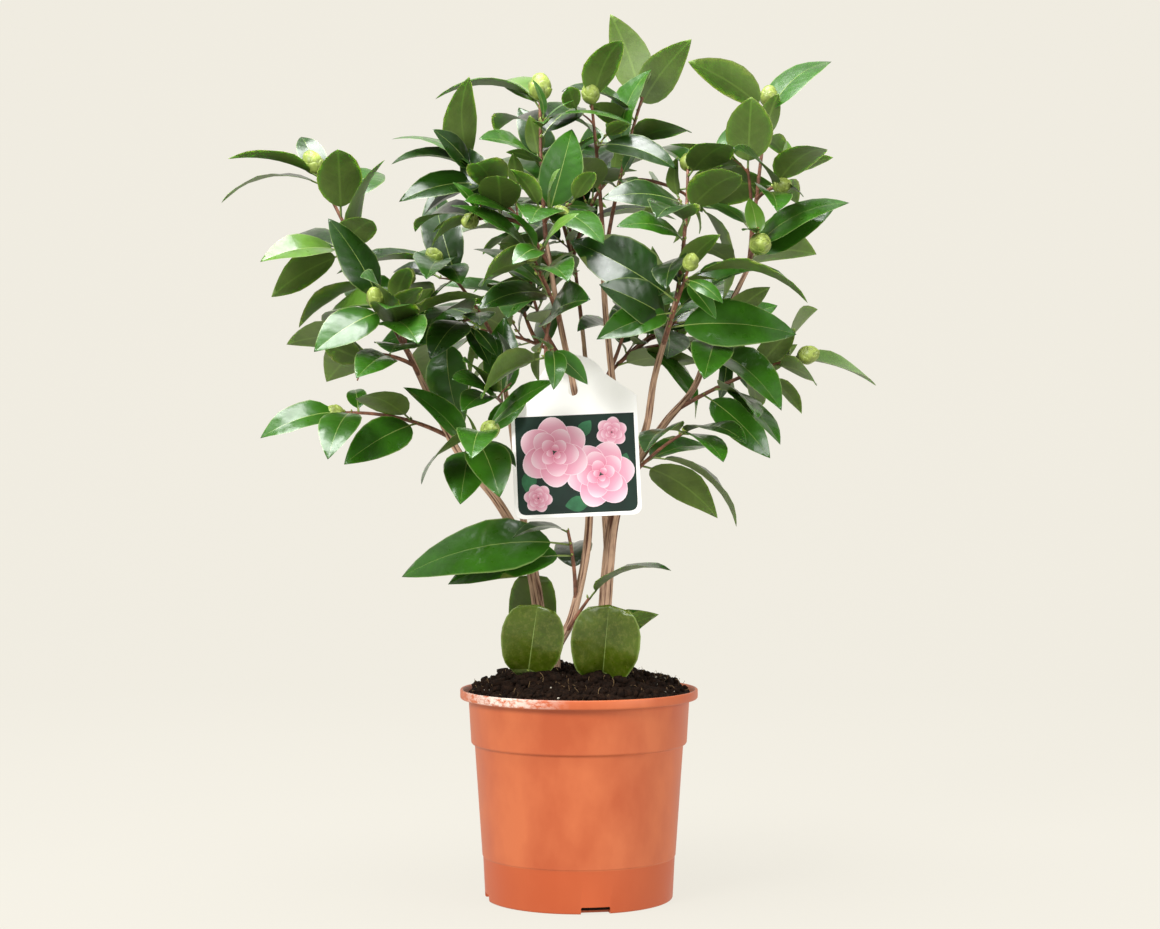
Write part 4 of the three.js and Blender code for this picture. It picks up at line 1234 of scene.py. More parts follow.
def softened(outline, radius, steps):
    """An outline whose corners are rounded to this radius, except at its two ends."""
    places = [np.array(place, float) for place in outline]
    result = [tuple(outline[0])]
    for before, corner, after in zip(places, places[1:], places[2:]):
        reach = min(radius, np.linalg.norm(before - corner) / 2, np.linalg.norm(after - corner) / 2)
        start = corner + unit(before - corner) * reach
        end = corner + unit(after - corner) * reach
        for i in range(steps + 1):
            t = i / steps
            result.append(tuple(start * (1 - t) ** 2 + corner * 2 * t * (1 - t) + end * t**2))
    return [*result, tuple(outline[-1])]


def pot_outline():
    """The pot's section as (radius, height) places: up its outside, over the rim and down its inside."""
    lip_foot = POT["height"] - POT["lip_height"]
    base, wall, floor = POT["base_radius"], POT["wall"], POT["floor"]
    foot, collar = POT["foot_line"], POT["collar"]
    rim, top, bevel = POT["rim_radius"], POT["height"], POT["bevel"]
    inside_lip = POT["inside_lip"]
    outside = [
        (0, 0),
        (base, 0),
        (foot["radius"], foot["z"]),
        (foot["radius"] + foot["step"], foot["z"] + foot["step"]),
        (collar["radius_below"], collar["z"]),
        (collar["radius_above"], collar["z"] + bevel),
        (collar["radius_top"], lip_foot),
        (rim, lip_foot),
        (rim, top),
    ]
    inside = [
        (inside_lip["radius"], top),
        (inside_lip["step"], lip_foot + inside_lip["rise"]),
        (collar["radius_top"] - wall, lip_foot - inside_lip["rise"]),
        (collar["radius_above"] - wall, collar["z"] + bevel),
        (collar["radius_below"] - wall, collar["z"] - wall),
        (base - wall, floor),
        (0, floor),
    ]
    return outside + inside


def turned_about(axis, angle):
    """A rotation about an axis by an angle in radians."""
    return Matrix.Rotation(angle, 3, axis)


def drain_notches():
    """Rounded blocks at the foot of the pot, which are cut out of it."""
    drain = POT["drain"]
    size = (drain["width"] * MM, 2 * drain["depth"] * MM, 2 * drain["height"] * MM)
    shape = bmesh.new()
    for i in range(drain["count"]):
        turn = math.radians(drain["first_angle"] + i * 360 / drain["count"])
        notch = bmesh.ops.create_cube(shape, size=1)["verts"]
        bmesh.ops.scale(shape, vec=size, verts=notch)
        edges = {edge for corner in notch for edge in corner.link_edges}
        made = bmesh.ops.bevel(
            shape,
            geom=[*notch, *edges],
            offset=drain["rounding"] * MM,
            segments=drain["rounding_steps"],
            affect="EDGES",
            profile=0.5,
        )
        verts = list({*made["verts"], *[corner for corner in notch if corner.is_valid]})
        bmesh.ops.translate(shape, vec=(0, -POT["base_radius"] * MM, 0), verts=verts)
        bmesh.ops.rotate(shape, cent=(0, 0, 0), matrix=turned_about("Z", turn), verts=verts)
    mesh = bpy.data.meshes.new("drain_notches")
    shape.to_mesh(mesh)
    shape.free()
    return new_piece("drain_notches", mesh)


def build_pot(settings):
    """The moulded pot with its rolled lip, collar, foot line and drain notches."""
    outline = softened(pot_outline(), POT["rounding"], POT["rounding_steps"])
    pot = new_piece("pot_body_carrier", turned_body("pot_body", outline, POT["segments"]))
    notches = drain_notches()
    cut = pot.modifiers.new("drain", "BOOLEAN")
    cut.object = notches
    cut.operation = "DIFFERENCE"
    cut.solver = "EXACT"
    mesh = plain_mesh(pot)
    bpy.data.objects.remove(notches)
    mesh.materials.append(moulded_polypropylene(settings.pot))
    mesh.shade_smooth()
    mesh.set_sharp_from_angle(angle=math.radians(POT["crisp_above"]))
    settle(new_piece("pot_body", mesh), "pot", "pot")


def soil_height(radius):
    """How high the soil stands at a distance from the pot's axis."""
    share = min(1.0, radius / SOIL["radius"])
    rise = (SOIL["top"] - SOIL["edge"]) * max(0.0, math.cos(share * math.pi / 2)) ** SOIL["fullness"]
    return SOIL["edge"] + rise


def soil_outline():
    """The soil's section as (radius, height) places: out along its floor, up its side and over its top."""
    collar, wall, air = POT["collar"], POT["wall"], SOIL["air"]
    floor = POT["floor"] + SOIL["floor_air"]
    lip_foot = POT["height"] - POT["lip_height"]
    outline = [
        (0, floor),
        (POT["base_radius"] - wall - air, floor),
        (collar["radius_below"] - wall - air, collar["z"] - wall),
        (collar["radius_above"] - wall - air, collar["z"] + wall),
        (collar["radius_top"] - wall - air, lip_foot - POT["inside_lip"]["rise"]),
    ]
    for i in range(SOIL["rings"]):
        radius = SOIL["radius"] * (1 - i / SOIL["rings"])
        outline.append((radius, soil_height(radius)))
    return [*outline, (0, SOIL["top"])]


def soil_tree():
    """Raises lumps on a surface, and leaves it as it is where its weight is nought."""
    sockets = {
        "Lump height": "NodeSocketFloat",
        "Lump size": "NodeSocketFloat",
        "Finish": "NodeSocketMaterial",
    }
    tree, given = start_tree("Lumpy soil", sockets)
    lift = unevenness(tree, given.outputs["Lump size"], 0.46, {"Detail": 4.0, "Roughness": 0.62})
    weight = add_node(tree, "GeometryNodeInputNamedAttribute", FLOATS, {"Name": "lump_weight"})
    for factor in (weight, given.outputs["Lump height"]):
        lift = add_node(tree, "ShaderNodeMath", MULTIPLY, {0: lift, 1: factor})
    offset = add_node(tree, "ShaderNodeCombineXYZ", inputs={"Z": lift})
    return raised_tree(tree, given.outputs["Geometry"], offset, given.outputs["Finish"])


def soil_surface(mound):
    """The top of the mound, as far out as crumbs lie on it."""
    surface = bpy.data.meshes.new("soil_surface")
    shape = bmesh.new()
    shape.from_mesh(mound)
    bare = []
    for face in shape.faces:
        outside = face.calc_center_median().xy.length > SOIL["crumbs_within"] * MM
        if outside or face.normal.z < SOIL["least_slope"]:
            bare.append(face)
    bmesh.ops.delete(shape, geom=bare, context="FACES")
    shape.to_mesh(surface)
    shape.free()
    return surface


# A crumb's and a grain's reach along each axis, how finely each is divided, and how deep its dents are.
CRUMB = {"reach": (1, 0.8, 0.65), "detail": 2}
GRAIN = {"reach": (1, 0.9, 0.8), "detail": 1}
DENT = 0.28


def crumb_template(name, kind):
    """A small lump with dents, longer or shorter along each axis."""
    shape = bmesh.new()
    bmesh.ops.create_icosphere(shape, subdivisions=kind["detail"], radius=1)
    for corner in shape.verts:
        x, y, z = corner.co
        dent = 1 - DENT * math.sin(5 * x + 2) * math.sin(4 * y + 3 * z)
        corner.co = Vector([part * dent * reach for part, reach in zip(corner.co, kind["reach"])])
    mesh = bpy.data.meshes.new(name)
    shape.to_mesh(mesh)
    shape.free()
    mesh.shade_smooth()
    return new_piece(name, mesh)


# A root fibre, one long: its radius, and how far it bends, winds and rises on its way.
FIBRE = {"radius": 0.013, "places": 7, "bend": 0.25, "wind": 0.12, "rise": 0.1, "sides": 4}


def fibre_template(name):
    """A short root fibre: a thin bent strand, one long."""
    path = []
    for t in np.linspace(-0.5, 0.5, FIBRE["places"]):
        aside = FIBRE["bend"] * t * t - FIBRE["wind"] * math.sin(6 * t)
        place = np.array((t, aside, FIBRE["rise"] * math.sin(4 * t)))
        path.append((place / MM, FIBRE["radius"] / MM))
    inputs = {"Sides": FIBRE["sides"], "Relief": 0.0, "Crack width": 1.0}
    return new_piece(name, run_tree(name, path_mesh(name + "_path", [path]), limb_tree(), inputs))


# Clods lie against the feet of the buried leaves: how many for each, and how they are heaped.
CLODS = {"count": 34, "aside": 24, "forward": (2, 15), "lift": (0, 4.5), "sizes": (2.8, 5.8)}


def heaped_clods(name):
    """Marks for clods in front of a buried leaf's foot."""
    foot_x, foot_y, _ = FOLIAGE[name]["shoots"][0]["tip"]
    dice = Dice(len(name))
    for _ in range(CLODS["count"]):
        x, y = foot_x + dice.either(CLODS["aside"]), foot_y - dice.between(CLODS["forward"])
        radius = min(math.hypot(x, y), SOIL["radius"] - CLODS["sizes"][1])
        turn = math.atan2(y, x)
        level = soil_height(radius) + dice.between(CLODS["lift"])
        place = np.array((radius * math.cos(turn), radius * math.sin(turn), level))
        yield place, UP, dice.between(CLODS["sizes"])


# What is strewn on the soil: how many there are beside the crumbs, and their least and greatest size.
STREWN = {
    "soil_crumbs": (1.0, (1.0, 3.6)),
    "soil_lumps": (0.07, (3.2, 5.2)),
    "soil_perlite": (0.05, (0.6, 1.7)),
    "soil_fibres": (0.16, (5, 14)),
}


def build_soil(settings):
    """The potting soil: a lumpy mound that fills the pot, with crumbs, perlite and root fibres on it."""
    mesh = turned_body("soil_mound", soil_outline(), SOIL["segments"])
    edge = (SOIL["edge"] + SAME_HEIGHT) * MM
    weights = [float(corner.co.z > edge) for corner in mesh.vertices]
    mesh.attributes.new("lump_weight", "FLOAT", "POINT").data.foreach_set("value", weights)
    earth = moist_potting_soil(settings.soil)
    inputs = {"Lump height": settings.soil_lumps, "Lump size": SOIL["lump_size"] * MM, "Finish": earth}
    mound = run_tree("soil_mound", mesh, soil_tree(), inputs)
    settle(new_piece("soil_mound", mound), "soil", "soil")

    crumb = crumb_template("crumb", CRUMB)
    grain_of_perlite = crumb_template("grain", GRAIN)
    fibre = fibre_template("fibre")
    clods = points_mesh("clod_points", [mark for name in BURIED_WIDTHS for mark in heaped_clods(name)])
    mesh = run_tree("soil_clods", clods, copies_tree(), {"Copy": crumb, "Finish": earth})
    settle(new_piece("soil_clods", mesh), "soil", "soil")

    surface = soil_surface(mound)
    tree = scatter_tree()
    looks = {
        "soil_crumbs": (crumb, earth),
        "soil_lumps": (crumb, earth),
        "soil_perlite": (grain_of_perlite, dusty_fleck("dusty_perlite", "#cfc8b6")),
        "soil_fibres": (fibre, dusty_fleck("dry_root_fibre", "#957852")),
    }
    for seed, (name, (copy, finish)) in enumerate(looks.items()):
        part, (least, greatest) = STREWN[name]
        inputs = {
            "Copy": copy,
            "Density": float(settings.crumbs) * part,
            "Least size": least * MM,
            "Greatest size": greatest * MM,
            "Seed": seed,
            "Finish": finish,
        }
        settle(new_piece(name, run_tree(name, surface.copy(), tree, inputs)), "soil", "soil")
    for copy in (crumb, grain_of_perlite, fibre):
        bpy.data.objects.remove(copy)


# The spacing of the places along a limb, its sides, the cracks' width in its bark, and how far the
# bark's relief setting is stretched, as its pattern seldom swings over its whole range.
LIMB_MESH = {"step": 2, "sides": 20, "crack": 2.2, "swing": 2}


def limb_path(spec):
    """A limb as places and radii, from the flat cut at ground level to its tip."""
    curve = LimbCurve(spec["path"])
    length = curve.length()
    rooted = spec["path"][0][2] < GROUND
    steps = round(length / LIMB_MESH["step"])
    path = []
    for i in range(steps + 1):
        share = i / steps
        place = curve.point(share)
        if rooted and place[2] < GROUND:
            continue
        foot = share * length / FLARE["height"]
        radius = lerp(*spec["radii"], share) * (1 + FLARE["widening"] * math.exp(-foot))
        path.append((place, radius))
    return path


def build_limbs(settings):
    """Stems and boughs with fissured bark, one piece for each limb."""
    tree = limb_tree()
    inputs = {
        "Sides": LIMB_MESH["sides"],
        "Relief": settings.bark_relief * LIMB_MESH["swing"],
        "Crack width": LIMB_MESH["crack"] * MM,
        "Finish": fissured_bark(settings.bark, settings.fissure),
    }
    for name, spec in LIMBS.items():
        mesh = run_tree(name + "_bark", path_mesh(name + "_path", [limb_path(spec)]), tree, inputs)
        settle(new_piece(name + "_bark", mesh), "bark", name)


# A leaf's rings lie at these shares of its length: two on the stalk, the rest on the blade.
LEAF_RINGS = np.array((0, 0.06, 0.12, 0.135, 0.17, 0.24, 0.34, 0.46, 0.58, 0.7, 0.81, 0.9, 0.96))
STALK_SHARE = 0.12
STALK_RADIUS = 0.95
# The blade's outline rises and falls by these powers of the distances from its foot and its tip.
OUTLINE = {"foot": 0.62, "tip": 0.98}

# How a blade is formed. Its midrib narrows towards its tip from this many times its width, and its
# thickness from the first of a pair by the second. Midrib and keel are shares of a stalk's radius on
# the stalk. A blade curls down at its margins, ripples, and twists by up to this many radians.
BLADE = {
    "rib_taper": 1.05,
    "rib_on_stalk": 0.45,
    "widest_rib": 0.5,
    "rib_sink": 0.12,
    "thickness": (1.1, 0.75),
    "keel_on_stalk": 1.5,
    "half_way": 0.55,
    "curl": (0.02, 0.3),
    "ripple": (0.02, 0.07),
    "ripple_start": (0, 6.3),
    "ripple_run": (9, 15),
    "twist": 0.16,
}

# The corners of a ring, in order: a margin, half way in, both sides of the midrib, half way out, the
# other margin, and the keel. The faces from the midrib's first side on are the midrib's, and those
# from the second margin on are the leaf's underside.
COLUMNS = {"count": 7, "rib": 2, "margins": (0, 5)}
# The numbers of the finishes on a leaf. Those of the upper faces follow by age.
FINISHES = {"rib": 0, "under": 1, "upper": 2}


def outline_width(along, outline):
    """The share of its half width that a blade has at a share of the way from its foot to its tip."""
    foot, tip = outline["foot"], outline["tip"]
    widest = foot / (foot + tip)
    most = widest**foot * (1 - widest) ** tip
    return along**foot * (1 - along) ** tip / most


def blade_width(share):
    """The share of a leaf's half width that its blade has at a share of its length, stalk and all."""
    return outline_width(np.clip((share - STALK_SHARE) / (1 - STALK_SHARE), 0, 1), OUTLINE)


def leaf_surface(leaf, dice, settings):
    """A leaf's corners, ring by ring, with each corner's place across and along the blade."""
    shares = LEAF_RINGS
    on_blade = shares > STALK_SHARE
    width = blade_width(shares)
    crease = leaf.fold * CREASED
    if leaf.buried:
        width = outline_width(lerp(BURIED["cut"], 1, shares), BURIED)
        crease = leaf.fold * BURIED["crease"]
        on_blade = shares >= 0
        shares = lerp(BURIED["below"], 1, shares)
    ribs = leaf.midrib(shares)
    normals = leaf.normals(shares)
    reach = np.maximum(leaf.half_width * leaf.width * width, STALK_RADIUS)
    half_rib = settings.midrib_width / MM / 2 * (BLADE["rib_taper"] - shares)
    half_rib = np.where(on_blade, half_rib, STALK_RADIUS * BLADE["rib_on_stalk"])
    rib = np.minimum(half_rib, reach * BLADE["widest_rib"]) / reach
    at_foot, less = BLADE["thickness"]
    thick = settings.leaf_thickness / MM * (at_foot - less * shares)
    thick = np.where(on_blade, thick, BLADE["keel_on_stalk"] * STALK_RADIUS)
    curl = dice.between(BLADE["curl"])
    depth_of_ripple, start = dice.between(BLADE["ripple"]), dice.between(BLADE["ripple_start"])
    ripple = depth_of_ripple * np.sin(start + shares * dice.between(BLADE["ripple_run"]))
    twist = dice.either(BLADE["twist"]) * shares
    side = leaf.side[None, :] * np.cos(twist)[:, None] + normals * np.sin(twist)[:, None]
    upper = normals * np.cos(twist)[:, None] - leaf.side[None, :] * np.sin(twist)[:, None]

    # Each column lies at a share of the way out to the margin, and this deep under the blade's face.
    level = np.zeros(len(shares))
    half_way = level + BLADE["half_way"]
    sunk = np.where(on_blade, BLADE["rib_sink"], 0)
    left = [(level - 1, level), (-half_way, level), (-rib, sunk)]
    right = [(-across, depth) for across, depth in reversed(left)]
    corners, places = [], []
    for across, depth in (*left, *right, (level, thick)):
        outward = np.abs(across)
        rise = reach * (outward * math.sin(crease) - curl * outward**2 + ripple * across)
        rise = np.where(on_blade, rise, 0) - depth
        corners.append(ribs + side * (across * reach * math.cos(crease))[:, None] + upper * rise[:, None])
        # The third part is 1 mm at the margin, and less by the share of the way out to it.
        places.append(np.stack([across * reach, shares * leaf.length, outward], 1))
    corners = np.stack(corners, 1).reshape(-1, 3)
    places = np.stack(places, 1).reshape(-1, 3)
    return np.vstack([corners, leaf.tip]), np.vstack([places, (0, leaf.length, 0)])


def add_leaf(corpus, leaf, age, dice, settings):
    """Adds a leaf as a thin closed shell with its own outline, and a finish for each face."""
    corners, places = leaf_surface(leaf, dice, settings)
    rings, columns = len(LEAF_RINGS), COLUMNS["count"]
    faces = [tuple(reversed(range(columns)))]
    finishes = [FINISHES["rib"]]
    for ring in range(rings):
        for column in range(columns):
            after = (column + 1) % columns
            a, b = ring * columns + column, ring * columns + after
            onward = (b + columns, a + columns) if ring + 1 < rings else (rings * columns,)
            faces.append((a, b, *onward))
            if LEAF_RINGS[ring] < STALK_SHARE or column == COLUMNS["rib"]:
                finishes.append(FINISHES["rib"])
            elif column >= COLUMNS["margins"][1]:
                finishes.append(FINISHES["under"])
            else:
                finishes.append(FINISHES["upper"] + age)
    # Each margin of the blade is a sharp edge, told by a number of its own.
    sharp = [0] * len(corners)
    for ring in range(2, rings):
        for side, column in enumerate(COLUMNS["margins"], 1):
            sharp[ring * columns + column] = len(corpus.corners) + side
    corpus.add(corners, faces, finishes, places, sharp)


class Crowd:
    """Places on leaves that have grown, to keep new ones clear of them."""

    SHARES = np.array((0.25, 0.45, 0.65, 0.85, 1.0))
    OUTWARD = 0.75

    def __init__(self):
        self.places = np.empty((0, 3))

    def samples(self, leaf):
        ribs = leaf.midrib(self.SHARES)
        reach = (leaf.half_width * np.maximum(0, blade_width(self.SHARES)) * self.OUTWARD)[:, None]
        return np.vstack([ribs, ribs + leaf.side * reach, ribs - leaf.side * reach])

    def clear(self, leaf, air):
        samples = self.samples(leaf)
        close = np.abs(self.places - samples.mean(0)).max(1) < leaf.length + air
        gaps = samples[:, None, :] - self.places[close][None, :, :]
        return not (np.square(gaps).sum(2) < air**2).any()

    def add(self, leaf):
        self.places = np.vstack([self.places, self.samples(leaf)])


# Side twigs: where they spring on a shoot, how they grow, their small leaves, and the air that is kept
# round each leaf. They stay within the margin of their solid's box. The bare masses grow none by the
# setting, and the dense ones one more for each shoot. A shoot of very broad leaves grows none.
SIDE = {
    "shares": (0.35, 0.95),
    "length": (14, 28),
    "radii": (0.95, 0.6),
    "leaves": 3,
    "size": (0.36, 0.6),
    "spread": (35, 60),
    "air": 6,
    "seed": 70,
    "margin": 2,
    "broadest": 1.5,
    "bare": ("foliage_base", "foliage_low", "foliage_left_top", "foliage_left_low"),
    "dense": ("foliage_back", "foliage_centre", "foliage_inner", "foliage_top_mid", "foliage_front"),
}


def within(name, places):
    """Whether places lie inside the box of a CAD node, or by its margin outside it."""
    low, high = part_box(name)
    low = np.array(low) / MM - SIDE["margin"]
    high = np.array(high) / MM + SIDE["margin"]
    return bool((places >= low).all() and (places <= high).all())


def grow_small_leaves(name, curve, breadth, dice, crowd):
    """The leaves of a side twig that find room within the mass's reach."""
    start = dice.between((0, math.tau))
    for k in range(SIDE["leaves"]):
        size = dice.between(SIDE["size"])
        for leaf in ruled_tries(curve, k, SIDE["leaves"], start, dice, breadth, size):
            if within(name, crowd.samples(leaf)) and crowd.clear(leaf, SIDE["air"]):
                crowd.add(leaf)
                yield leaf
                break


def grow_side_twigs(name, shoots, crowd, count):
    """Fine twigs that carry the rule on from each shoot, with small leaves, within the mass's reach."""
    twigs, leaves = [], []
    for shoot in shoots:
        if shoot.breadth > SIDE["broadest"]:
            continue
        for k in range(count):
            dice = Dice(shoot.seed + SIDE["seed"] + k)
            share = lerp(*SIDE["shares"], (k + dice.roll()) / count)
            turn = k * GOLDEN_TURN + dice.between((0, math.tau))
            spread = math.radians(dice.between(SIDE["spread"]))
            heading = unit(leaning(framing(shoot.curve, share), spread, turn) + UP * TWIG["lift"])
            tip = shoot.curve.point(share) + heading * dice.between(SIDE["length"])
            curve = ShootCurve(shoot.curve, share, tip)
            grown = list(grow_small_leaves(name, curve, shoot.breadth, dice, crowd))
            if grown:
                twigs.append(Shoot(curve, shoot.seed + SIDE["seed"] + k, SIDE["radii"]))
                leaves.extend(grown)
    return twigs, leaves


# How finely shoots and side twigs are divided, the power by which they thin out, and their bark.
TWIG_MESH = {"shoot_steps": 14, "side_steps": 6, "thinning": 0.8, "sides": 8, "relief": 0.25, "crack": 2}


def shoot_path(shoot, steps):
    """A shoot as places and radii, from its root to its tip."""
    shares = [i / steps for i in range(steps + 1)]
    return [
        (shoot.curve.point(share), lerp(*shoot.radii, share ** TWIG_MESH["thinning"])) for share in shares
    ]


# A flower bud one long from its foot. Its girth rounds off by a power at both ends and narrows towards
# its tip. Each tier of scales runs from one height to another. A scale is a grid of corners that narrows
# to its tip, stands off the core by its lift, and is pressed in at its sides.
BUD_FORM = {
    "rounding": 0.45,
    "narrowing": 0.2,
    "core": {"girth": 0.9, "height": 0.98, "segments": 16, "rings": 10},
    "tiers": [(0.0, 0.42), (0.04, 0.62), (0.12, 0.8), (0.3, 0.97)],
    "tier_turn": 0.19,
    "scales": 3,
    "grid": 6,
    "half_width": 1.12,
    "tip_power": 3.2,
    "lift": {"foot": 1.06, "tip": 0.05, "tier": 0.045, "side": 0.03},
    "girth_within": 0.015,
    "shell": 0.02,
}


def bud_girth(height, within_ends):
    """The radius of a flower bud at a height, kept this far away from its two ends."""
    height = min(max(height, within_ends), 1 - within_ends)
    rounded = (4 * height * (1 - height)) ** BUD_FORM["rounding"]
    return 0.5 * BUD["breadth"] * rounded * (1 - BUD_FORM["narrowing"] * height**4)


def bud_scale(tier, k):
    """The corners of scale number k in a tier, row by row."""
    low, high = BUD_FORM["tiers"][tier]
    lift = BUD_FORM["lift"]
    steps = BUD_FORM["grid"]
    middle = math.tau * (k / BUD_FORM["scales"] + tier * BUD_FORM["tier_turn"])
    for i in range(steps + 1):
        rise = i / steps
        height = lerp(low, high, rise)
        wide = BUD_FORM["half_width"] * math.sqrt(max(0.0, 1 - rise ** BUD_FORM["tip_power"]))
        off = lift["foot"] - lift["tier"] * tier + lift["tip"] * rise
        for j in range(steps + 1):
            side = 2 * j / steps - 1
            turn = middle + side * wide
            out = bud_girth(height, BUD_FORM["girth_within"]) * (off - lift["side"] * side * side)
            yield out * math.cos(turn), out * math.sin(turn), height


def bud_template():
    """A flower bud one long from its foot: an oval core in tiers of overlapping scales."""
    core = BUD_FORM["core"]
    shape = bmesh.new()
    bmesh.ops.create_uvsphere(shape, u_segments=core["segments"], v_segments=core["rings"], radius=1)
    for corner in shape.verts:
        height = (corner.co.z + 1) / 2
        wide = bud_girth(height, 1e-4) * core["girth"]
        flat = math.hypot(corner.co.x, corner.co.y) or 1
        x, y, _ = corner.co
        corner.co = (x / flat * wide, y / flat * wide, height * core["height"])
    columns = BUD_FORM["grid"] + 1
    for tier in range(len(BUD_FORM["tiers"])):
        for k in range(BUD_FORM["scales"]):
            corners = [shape.verts.new(place) for place in bud_scale(tier, k)]
            for i in range(BUD_FORM["grid"] * columns):
                above = i + columns
                if (i + 1) % columns:
                    shape.faces.new((corners[i], corners[i + 1], corners[above + 1], corners[above]))
    bmesh.ops.remove_doubles(shape, verts=shape.verts, dist=1e-5)
    mesh = bpy.data.meshes.new("bud_scales")
    shape.to_mesh(mesh)
    shape.free()
    carrier = new_piece("bud_scales", mesh)
    carrier.modifiers.new("shell", "SOLIDIFY").thickness = BUD_FORM["shell"]
    mesh = plain_mesh(carrier)
    mesh.shade_smooth()
    return new_piece("bud_template", mesh)


# A resting bud, one long: its (radius, height) places, its sides, how far it stands above the foot of
# its leaf, and the range of its length.
RESTING_BUD = {
    "outline": [(0, 0), (0.2, 0.1), (0.27, 0.35), (0.18, 0.7), (0, 1)],
    "sides": 6,
    "lift": 0.8,
    "lengths": (2.5, 4.2),
}


def spindle_template():
    """A resting bud one long from its foot: a slim pointed spindle."""
    outline = [(radius / MM, height / MM) for radius, height in RESTING_BUD["outline"]]
    mesh = turned_body("spindle", outline, RESTING_BUD["sides"])
    mesh.shade_smooth()
    return new_piece("spindle_template", mesh)


def points_mesh(name, marks):
    """A mesh of points, each with the heading and size that a copy there takes."""
    mesh = bpy.data.meshes.new(name)
    mesh.from_pydata([tuple(place * MM) for place, _, _ in marks], [], [])
    headings = np.array([heading for _, heading, _ in marks]).ravel()
    mesh.attributes.new("heading", "FLOAT_VECTOR", "POINT").data.foreach_set("vector", headings)
    sizes = [size * MM for _, _, size in marks]
    mesh.attributes.new("size", "FLOAT", "POINT").data.foreach_set("value", sizes)
    return mesh


# A leaf's freshness is drawn for it, less in the sprays inside the crown, whose darker colours stand partly
# for older leaves and partly for painted shade, and more for a small leaf. Below the first share it is an
# old leaf, below the second a grown one, and otherwise a young one.
AGES = {
    "shares": (0.38, 0.93),
    "shaded_inner_masses": ("foliage_back", "foliage_centre_left", "foliage_left_back", "foliage_top_mid"),
    "inside": -0.3,
    "small_length": 50,
    "small": 0.25,
    "by_the_soil": 3,
}


def leaf_age(name, leaf, dice):
    """The number of the finish on a leaf's upper face: 0 old, 1 grown, 2 young, 3 by the soil."""
    fresh = dice.roll()
    # Leaves inside the crown lean to the darker colours: partly older leaves, partly painted shade.
    if name.startswith(AGES["shaded_inner_masses"]):
        fresh += AGES["inside"]
    if leaf.length < AGES["small_length"]:
        fresh += AGES["small"]
    if leaf.buried:
        return AGES["by_the_soil"]
    return sum(fresh > share for share in AGES["shares"])


# The shoots of the leaves in front that stand in the soil lie under it, so they aren't drawn.
SUNK_SHOOTS = ("foliage_base_right", "foliage_base_left")


def leaf_finishes(settings):
    """The finishes on the leaves, in the order of their numbers."""
    return [
        waxed_leaf_face("leaf_midrib_and_stalk", settings.midrib),
        dull_leaf_face("dull_leaf_underside", settings.leaf_underside),
        waxed_leaf_face("waxed_old_leaf", settings.old_leaf),
        waxed_leaf_face("waxed_grown_leaf", settings.grown_leaf),
        waxed_leaf_face("waxed_young_leaf", settings.young_leaf),
        waxed_leaf_face("mottled_leaf_by_the_soil", settings.ground_leaf, 0.5),
    ]


def build_foliage(settings):
    """Twigs, leaves and buds of every mass, each kind joined, grown on from the limbs by the rule."""
    limb_curves = {name: LimbCurve(spec["path"]) for name, spec in LIMBS.items()}
    masses = {name: grow_mass(name, m, limb_curves) for m, name in enumerate(FOLIAGE)}
    crowd = Crowd()
    for _, leaves in masses.values():
        for leaf in leaves:
            crowd.add(leaf)
    paths, flower_buds, resting_buds = [], [], []
    corpus = Corpus()
    for name, (shoots, leaves) in masses.items():
        count = 0 if name.startswith(SIDE["bare"]) else settings.side_twigs
        count += name.startswith(SIDE["dense"])
        side_twigs, small_leaves = grow_side_twigs(name, shoots, crowd, count)
        if name not in SUNK_SHOOTS:
            paths.extend(shoot_path(shoot, TWIG_MESH["shoot_steps"]) for shoot in shoots)
        paths.extend(shoot_path(twig, TWIG_MESH["side_steps"]) for twig in side_twigs)
        for shoot in shoots:
            if shoot.bud:
                heading = shoot.curve.tangent(1)
                foot = shoot.curve.point(1) - heading * BUD["sink"]
                flower_buds.append((foot, heading, shoot.bud))
        for leaf in [*leaves, *small_leaves]:
            dice = Dice(len(resting_buds))
            foot = leaf.base + leaf.above * RESTING_BUD["lift"]
            heading = unit(leaf.ahead + leaf.above)
            resting_buds.append((foot, heading, dice.between(RESTING_BUD["lengths"])))
            add_leaf(corpus, leaf, leaf_age(name, leaf, dice), dice, settings)
    names = list(FOLIAGE)
    blades = corpus.mesh("leaf_blades", leaf_finishes(settings))
    settle(new_piece("leaf_blades", blades), "leaves", *names)

    inputs = {
        "Sides": TWIG_MESH["sides"],
        "Relief": TWIG_MESH["relief"] * MM,
        "Crack width": TWIG_MESH["crack"] * MM,
        "Finish": young_twig_bark(settings.twig),
    }
    twigs = run_tree("twigs", path_mesh("twig_paths", paths), limb_tree(), inputs)
    settle(new_piece("twigs", twigs), "bark", *names)

    scales = waxy_bud_scale(settings.bud)
    tree = copies_tree()
    for name, marks, template in (
        ("flower_buds", flower_buds, bud_template()),
        ("resting_buds", resting_buds, spindle_template()),
    ):
        mesh = run_tree(name, points_mesh(name, marks), tree, {"Copy": template, "Finish": scales})
        settle(new_piece(name, mesh), "leaves", *names)
        bpy.data.objects.remove(template)


def flat_shape(name, rings, thickness, edge=0.0):
    """A flat shape cut from a sheet, from its outline and holes in millimetres, centred on its plane."""
    curve = bpy.data.curves.new(name, "CURVE")
    curve.dimensions = "2D"
    curve.fill_mode = "BOTH"
    curve.extrude = (thickness / 2 - edge) * MM
    curve.bevel_depth = edge * MM
    curve.bevel_resolution = 1
    curve.offset = -edge * MM
    for ring in rings:
        spline = curve.splines.new("POLY")
        spline.points.add(len(ring) - 1)
        for point, (x, y) in zip(spline.points, ring):
            point.co = (x * MM, y * MM, 0, 1)
        spline.use_cyclic_u = True
    return plain_mesh(new_piece(name + "_sheet", curve))


